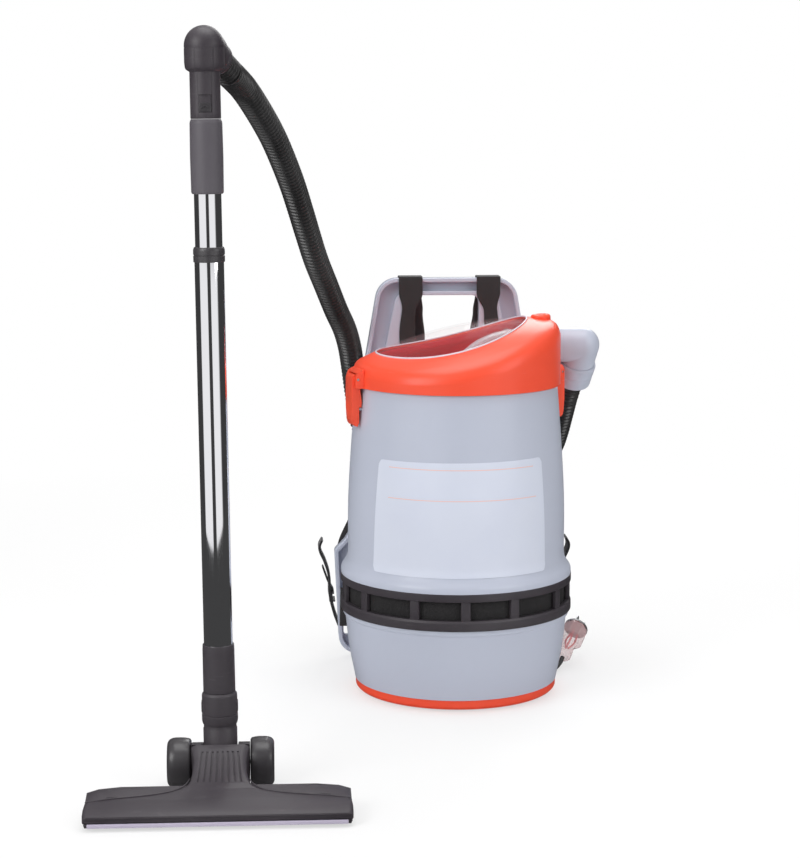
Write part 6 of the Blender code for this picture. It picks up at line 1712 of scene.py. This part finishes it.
def addHandle():
    size = wand
    low, long = size["gripLow"], size["gripLong"]
    r = size["grip"]
    sleeve = spun(eased([(r - 0.0015, low + long - seam, 0.0006),
                         (r, low + long - 0.004, 0.0014), (r + 0.0004, low + long * 0.5),
                         (r, low + 0.002, 0.0008), (r - 0.001, low, 0.0004), (0.0163, low),
                         (0.0163, low + long - seam)]), 96, turn=wandTurn)
    shaped("gripSleeve", sleeve, grip, "wand_handle", ["grip_sleeve"])
    start = low + long
    r, skirt, dome = size["handle"], size["skirt"], size["dome"]
    sliderZ = start + 0.0175
    pocket = {"wide": 0.0148, "radius": r, "deep": 0.0040, "low": sliderZ - 0.0102,
              "high": sliderZ + 0.0102}
    levels = [(r - 0.0006, start), (r, start + 0.0008), (r, pocket["low"] - 0.00015),
              (r, pocket["low"]), (r, sliderZ), (r, pocket["high"]),
              (r, pocket["high"] + 0.00015), (r, size["handleTop"] - 0.0008),
              (r + 0.0012, size["handleTop"]), (skirt - 0.0018, size["handleTop"] + 0.0018),
              (skirt - 0.0006, size["handleTop"] + 0.004), (skirt, size["handleTop"] + 0.010),
              (skirt, dome - 0.0030), (skirt - 0.0008, dome - 0.0026),
              (skirt - 0.0008, dome - 0.0016), (skirt - 0.0001, dome - 0.0012), (skirt, dome)]
    bm = pocketed(bmesh.new(), levels, pocket, turn=wandTurn)
    bmesh.ops.create_uvsphere(bm, u_segments=96, v_segments=48, radius=skirt - 0.0001,
                              matrix=wandTurn @ Matrix.Translation((0, 0, dome)))
    reach = 0.0322
    spun(eased([(0, 0.001), (0.0232, 0.001), (0.0226, reach * 0.45, 0.004),
                (0.0204, reach - 0.0030), (0.0206, reach - 0.0024),
                (0.0204, reach - 0.0008, 0.0004), (0.0198, reach), (0.0165, reach),
                (0.0165, reach - 0.004), (0, reach - 0.004)]), 72, bm,
         alongWay(domeCentre, outletWay))
    shaped("handleBody", bm, black, "wand_handle", ["handle_body"], sharp=40)
    slider = bmesh.new()
    front = -(r - 0.0038)
    middle = sliderZ - 0.0045
    boxAt(slider, (0.014, 0.0022, 0.011), wandTurn @ Vector((0, front - 0.0011, middle)),
          wandTilt, 0.0005)
    for lean in (1, -1):
        boxAt(slider, (0.0062, 0.0018, 0.0014),
              wandTurn @ Vector((lean * 0.0023, front - 0.0026, middle + 0.0010)),
              wandTilt @ Matrix.Rotation(lean * math.radians(28), 4, "Y"),
              0.0004)
    shaped("bleedSlider", slider, gloss, "bleed_slider", ["bleed_slider"])
    r = 0.0202
    cuff = spun(eased([(0.0125, 0.0), (0.0125, 0.011), (r - 0.0015, 0.011, 0.0006),
                       (r, 0.007, 0.0012), (r, 0.0050), (r - 0.0006, 0.0046),
                       (r - 0.0006, 0.0036), (r, 0.0032), (r, 0.002, 0.0008),
                       (r - 0.0015, 0.0)]), 72, turn=alongWay(domeCentre + outletWay * 0.0325,
                                                              outletWay))
    shaped("hoseCuff", cuff, black, "handle_hose_cuff", ["hose_cuff"])


addWandTubes()
addHandle()
print("wand ready")

# floor tool

tool = {"wheel": 0.0303, "wheelWide": 0.029, "wheelX": 0.0358, "half": 0.155,
        "front": -0.597, "swivelTop": 0.119}


def addSwivel():
    top, low = tool["swivelTop"], 0.0798
    r = 0.02175
    collar = spun(eased([(r - 0.0025, top, 0.0006), (r - 0.0005, top - 0.003, 0.0012),
                         (r - 0.0001, low + 0.013), (r - 0.0007, low + 0.0125),
                         (r - 0.0007, low + 0.0115), (r, low + 0.011),
                         (r, low + 0.004), (r - 0.001, low, 0.0006), (0.0138, low),
                         (0.0138, top - 0.0208), (0.0168, top - 0.0208), (0.0168, top)]), 96,
                  turn=wandTurn)
    for way in (1, -1):
        spot = wandTurn @ Vector((way * (r - 0.0012), 0, low + 0.021))
        boxAt(collar, (0.0030, 0.012, 0.013), spot, wandTilt, 0.0012)
    shaped("swivelCollar", collar, black, "wand_neck", ["swivel_collar"])
    yoke = bmesh.new()
    axle = tool["wheel"]
    top = 0.0797
    spun(eased([(0, axle), (0.0205, axle), (0.0205, top - 0.006), (0.0198, top - 0.005),
                (0.0198, top), (0.0138, top), (0.0138, axle + 0.004), (0, axle + 0.004)]),
         72, yoke, wandTurn)
    spun(eased([(0, -0.0207), (0.0188, -0.0207, 0.001), (0.0195, -0.0195, 0.001),
                (0.0195, 0.0195, 0.001), (0.0188, 0.0207, 0.001), (0, 0.0207)]), 72, yoke,
         wandTurn @ alongWay((0, 0, axle), (1, 0, 0)))
    shaped("neckYoke", yoke, black, "wand_neck", ["neck_yoke"])


def addWheels():
    r, wide = tool["wheel"], tool["wheelWide"]
    for way, side in ((-1, "left"), (1, "right")):
        turn = alongWay((wandFoot.x + way * tool["wheelX"], wandFoot.y, r), (way, 0, 0))
        profile = eased([(0.0034, wide - 0.006), (r * 0.30, wide - 0.006, 0.001),
                         (r * 0.34, wide - 0.0030, 0.001), (r * 0.58, wide - 0.0030, 0.001),
                         (r * 0.64, wide - 0.0004, 0.001), (r * 0.80, wide, 0.003),
                         (r * 0.94, wide - 0.0030, 0.004), (r, wide * 0.70, 0.004),
                         (r, wide * 0.30, 0.004), (r * 0.96, 0.0016, 0.002), (r * 0.88, 0.0),
                         (0.0034, 0.0)])
        shaped(f"{side}Wheel", spun(profile, 96, turn=turn), gloss, f"wheel_{side}",
               [f"wheel_{side}"])


def addTool():
    softened("toolCover", "tool_cover", black, "floor_head", 0.0014, 3, 32, sharp=30)
    softened("toolBase", "tool_base", black, "floor_head", 0.0010, 2, 32, sharp=30)
    bm = bmesh.new()
    front = tool["front"]
    boxAt(bm, (0.298, 0.0035, 0.0045), (wandFoot.x, front - 0.00205, 0.0065), None, 0.0009)
    shaped("bumperStrip", bm, paleStrip, "floor_head", ["bumper_strip"])
    edges = bmesh.new()
    line = [(0.1535, -0.1270, 0.0242), (0.126, -0.1205, 0.0257), (0.090, -0.1148, 0.0268),
            (0.064, -0.1083, 0.0280), (0.048, -0.1003, 0.0296), (0.0392, -0.0903, 0.0318),
            (0.0348, -0.0783, 0.0348)]
    for way in (1, -1):
        path, _ = smoothRoute([(wandFoot.x + way * x, wandFoot.y + y, z) for x, y, z in line],
                              0.003)
        taper = [0.0013 * min(1.0, 0.35 + 4 * min(k, len(path) - 1 - k) / len(path))
                 for k in range(len(path))]
        swept(path, taper, 12, edges)
    for z, proud in ((0.0148, 0.0008), (0.0104, 0.0006)):
        boxAt(edges, (0.304, 0.0016, 0.0011), (wandFoot.x, front + 0.0002 - proud / 2, z), None,
              0.0003)
    shaped("coverEdges", edges, black, "floor_head")
    half, count = tool["half"] - 0.010, 420
    for name, y in (("front", front + 0.010), ("rear", front + 0.054)):
        strip = bmesh.new()
        boxAt(strip, (2 * half, 0.0046, 0.0022), (wandFoot.x, y, 0.0058), None, 0.0003)
        for k in range(count):
            for row in (-1, 1):
                x = wandFoot.x - half + 0.0012 + (2 * half - 0.0024) * (k + 0.25 * row) / count
                lean = 0.0009 * math.sin(k * 7.3 + row)
                foot = Vector((x + lean, y + row * 0.0012 + 0.0006 * math.sin(k * 3.1), 0.0002))
                head = Vector((x, y + row * 0.0009, 0.0052))
                bmesh.ops.create_cone(strip, cap_ends=True, segments=3, radius1=0.00012,
                                      radius2=0.00024, depth=(head - foot).length,
                                      matrix=alongWay((foot + head) / 2, head - foot))
        shaped(f"{name}Brush", strip, bristle, "floor_head", [f"brush_{name}"])


addSwivel()
addWheels()
addTool()
print("floor tool ready")

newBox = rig.bounds()
sizes = {"cad": [list(corner) for corner in cadBox], "visual": [list(corner) for corner in newBox]}
with open("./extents.json", "w") as out:
    json.dump(sizes, out)
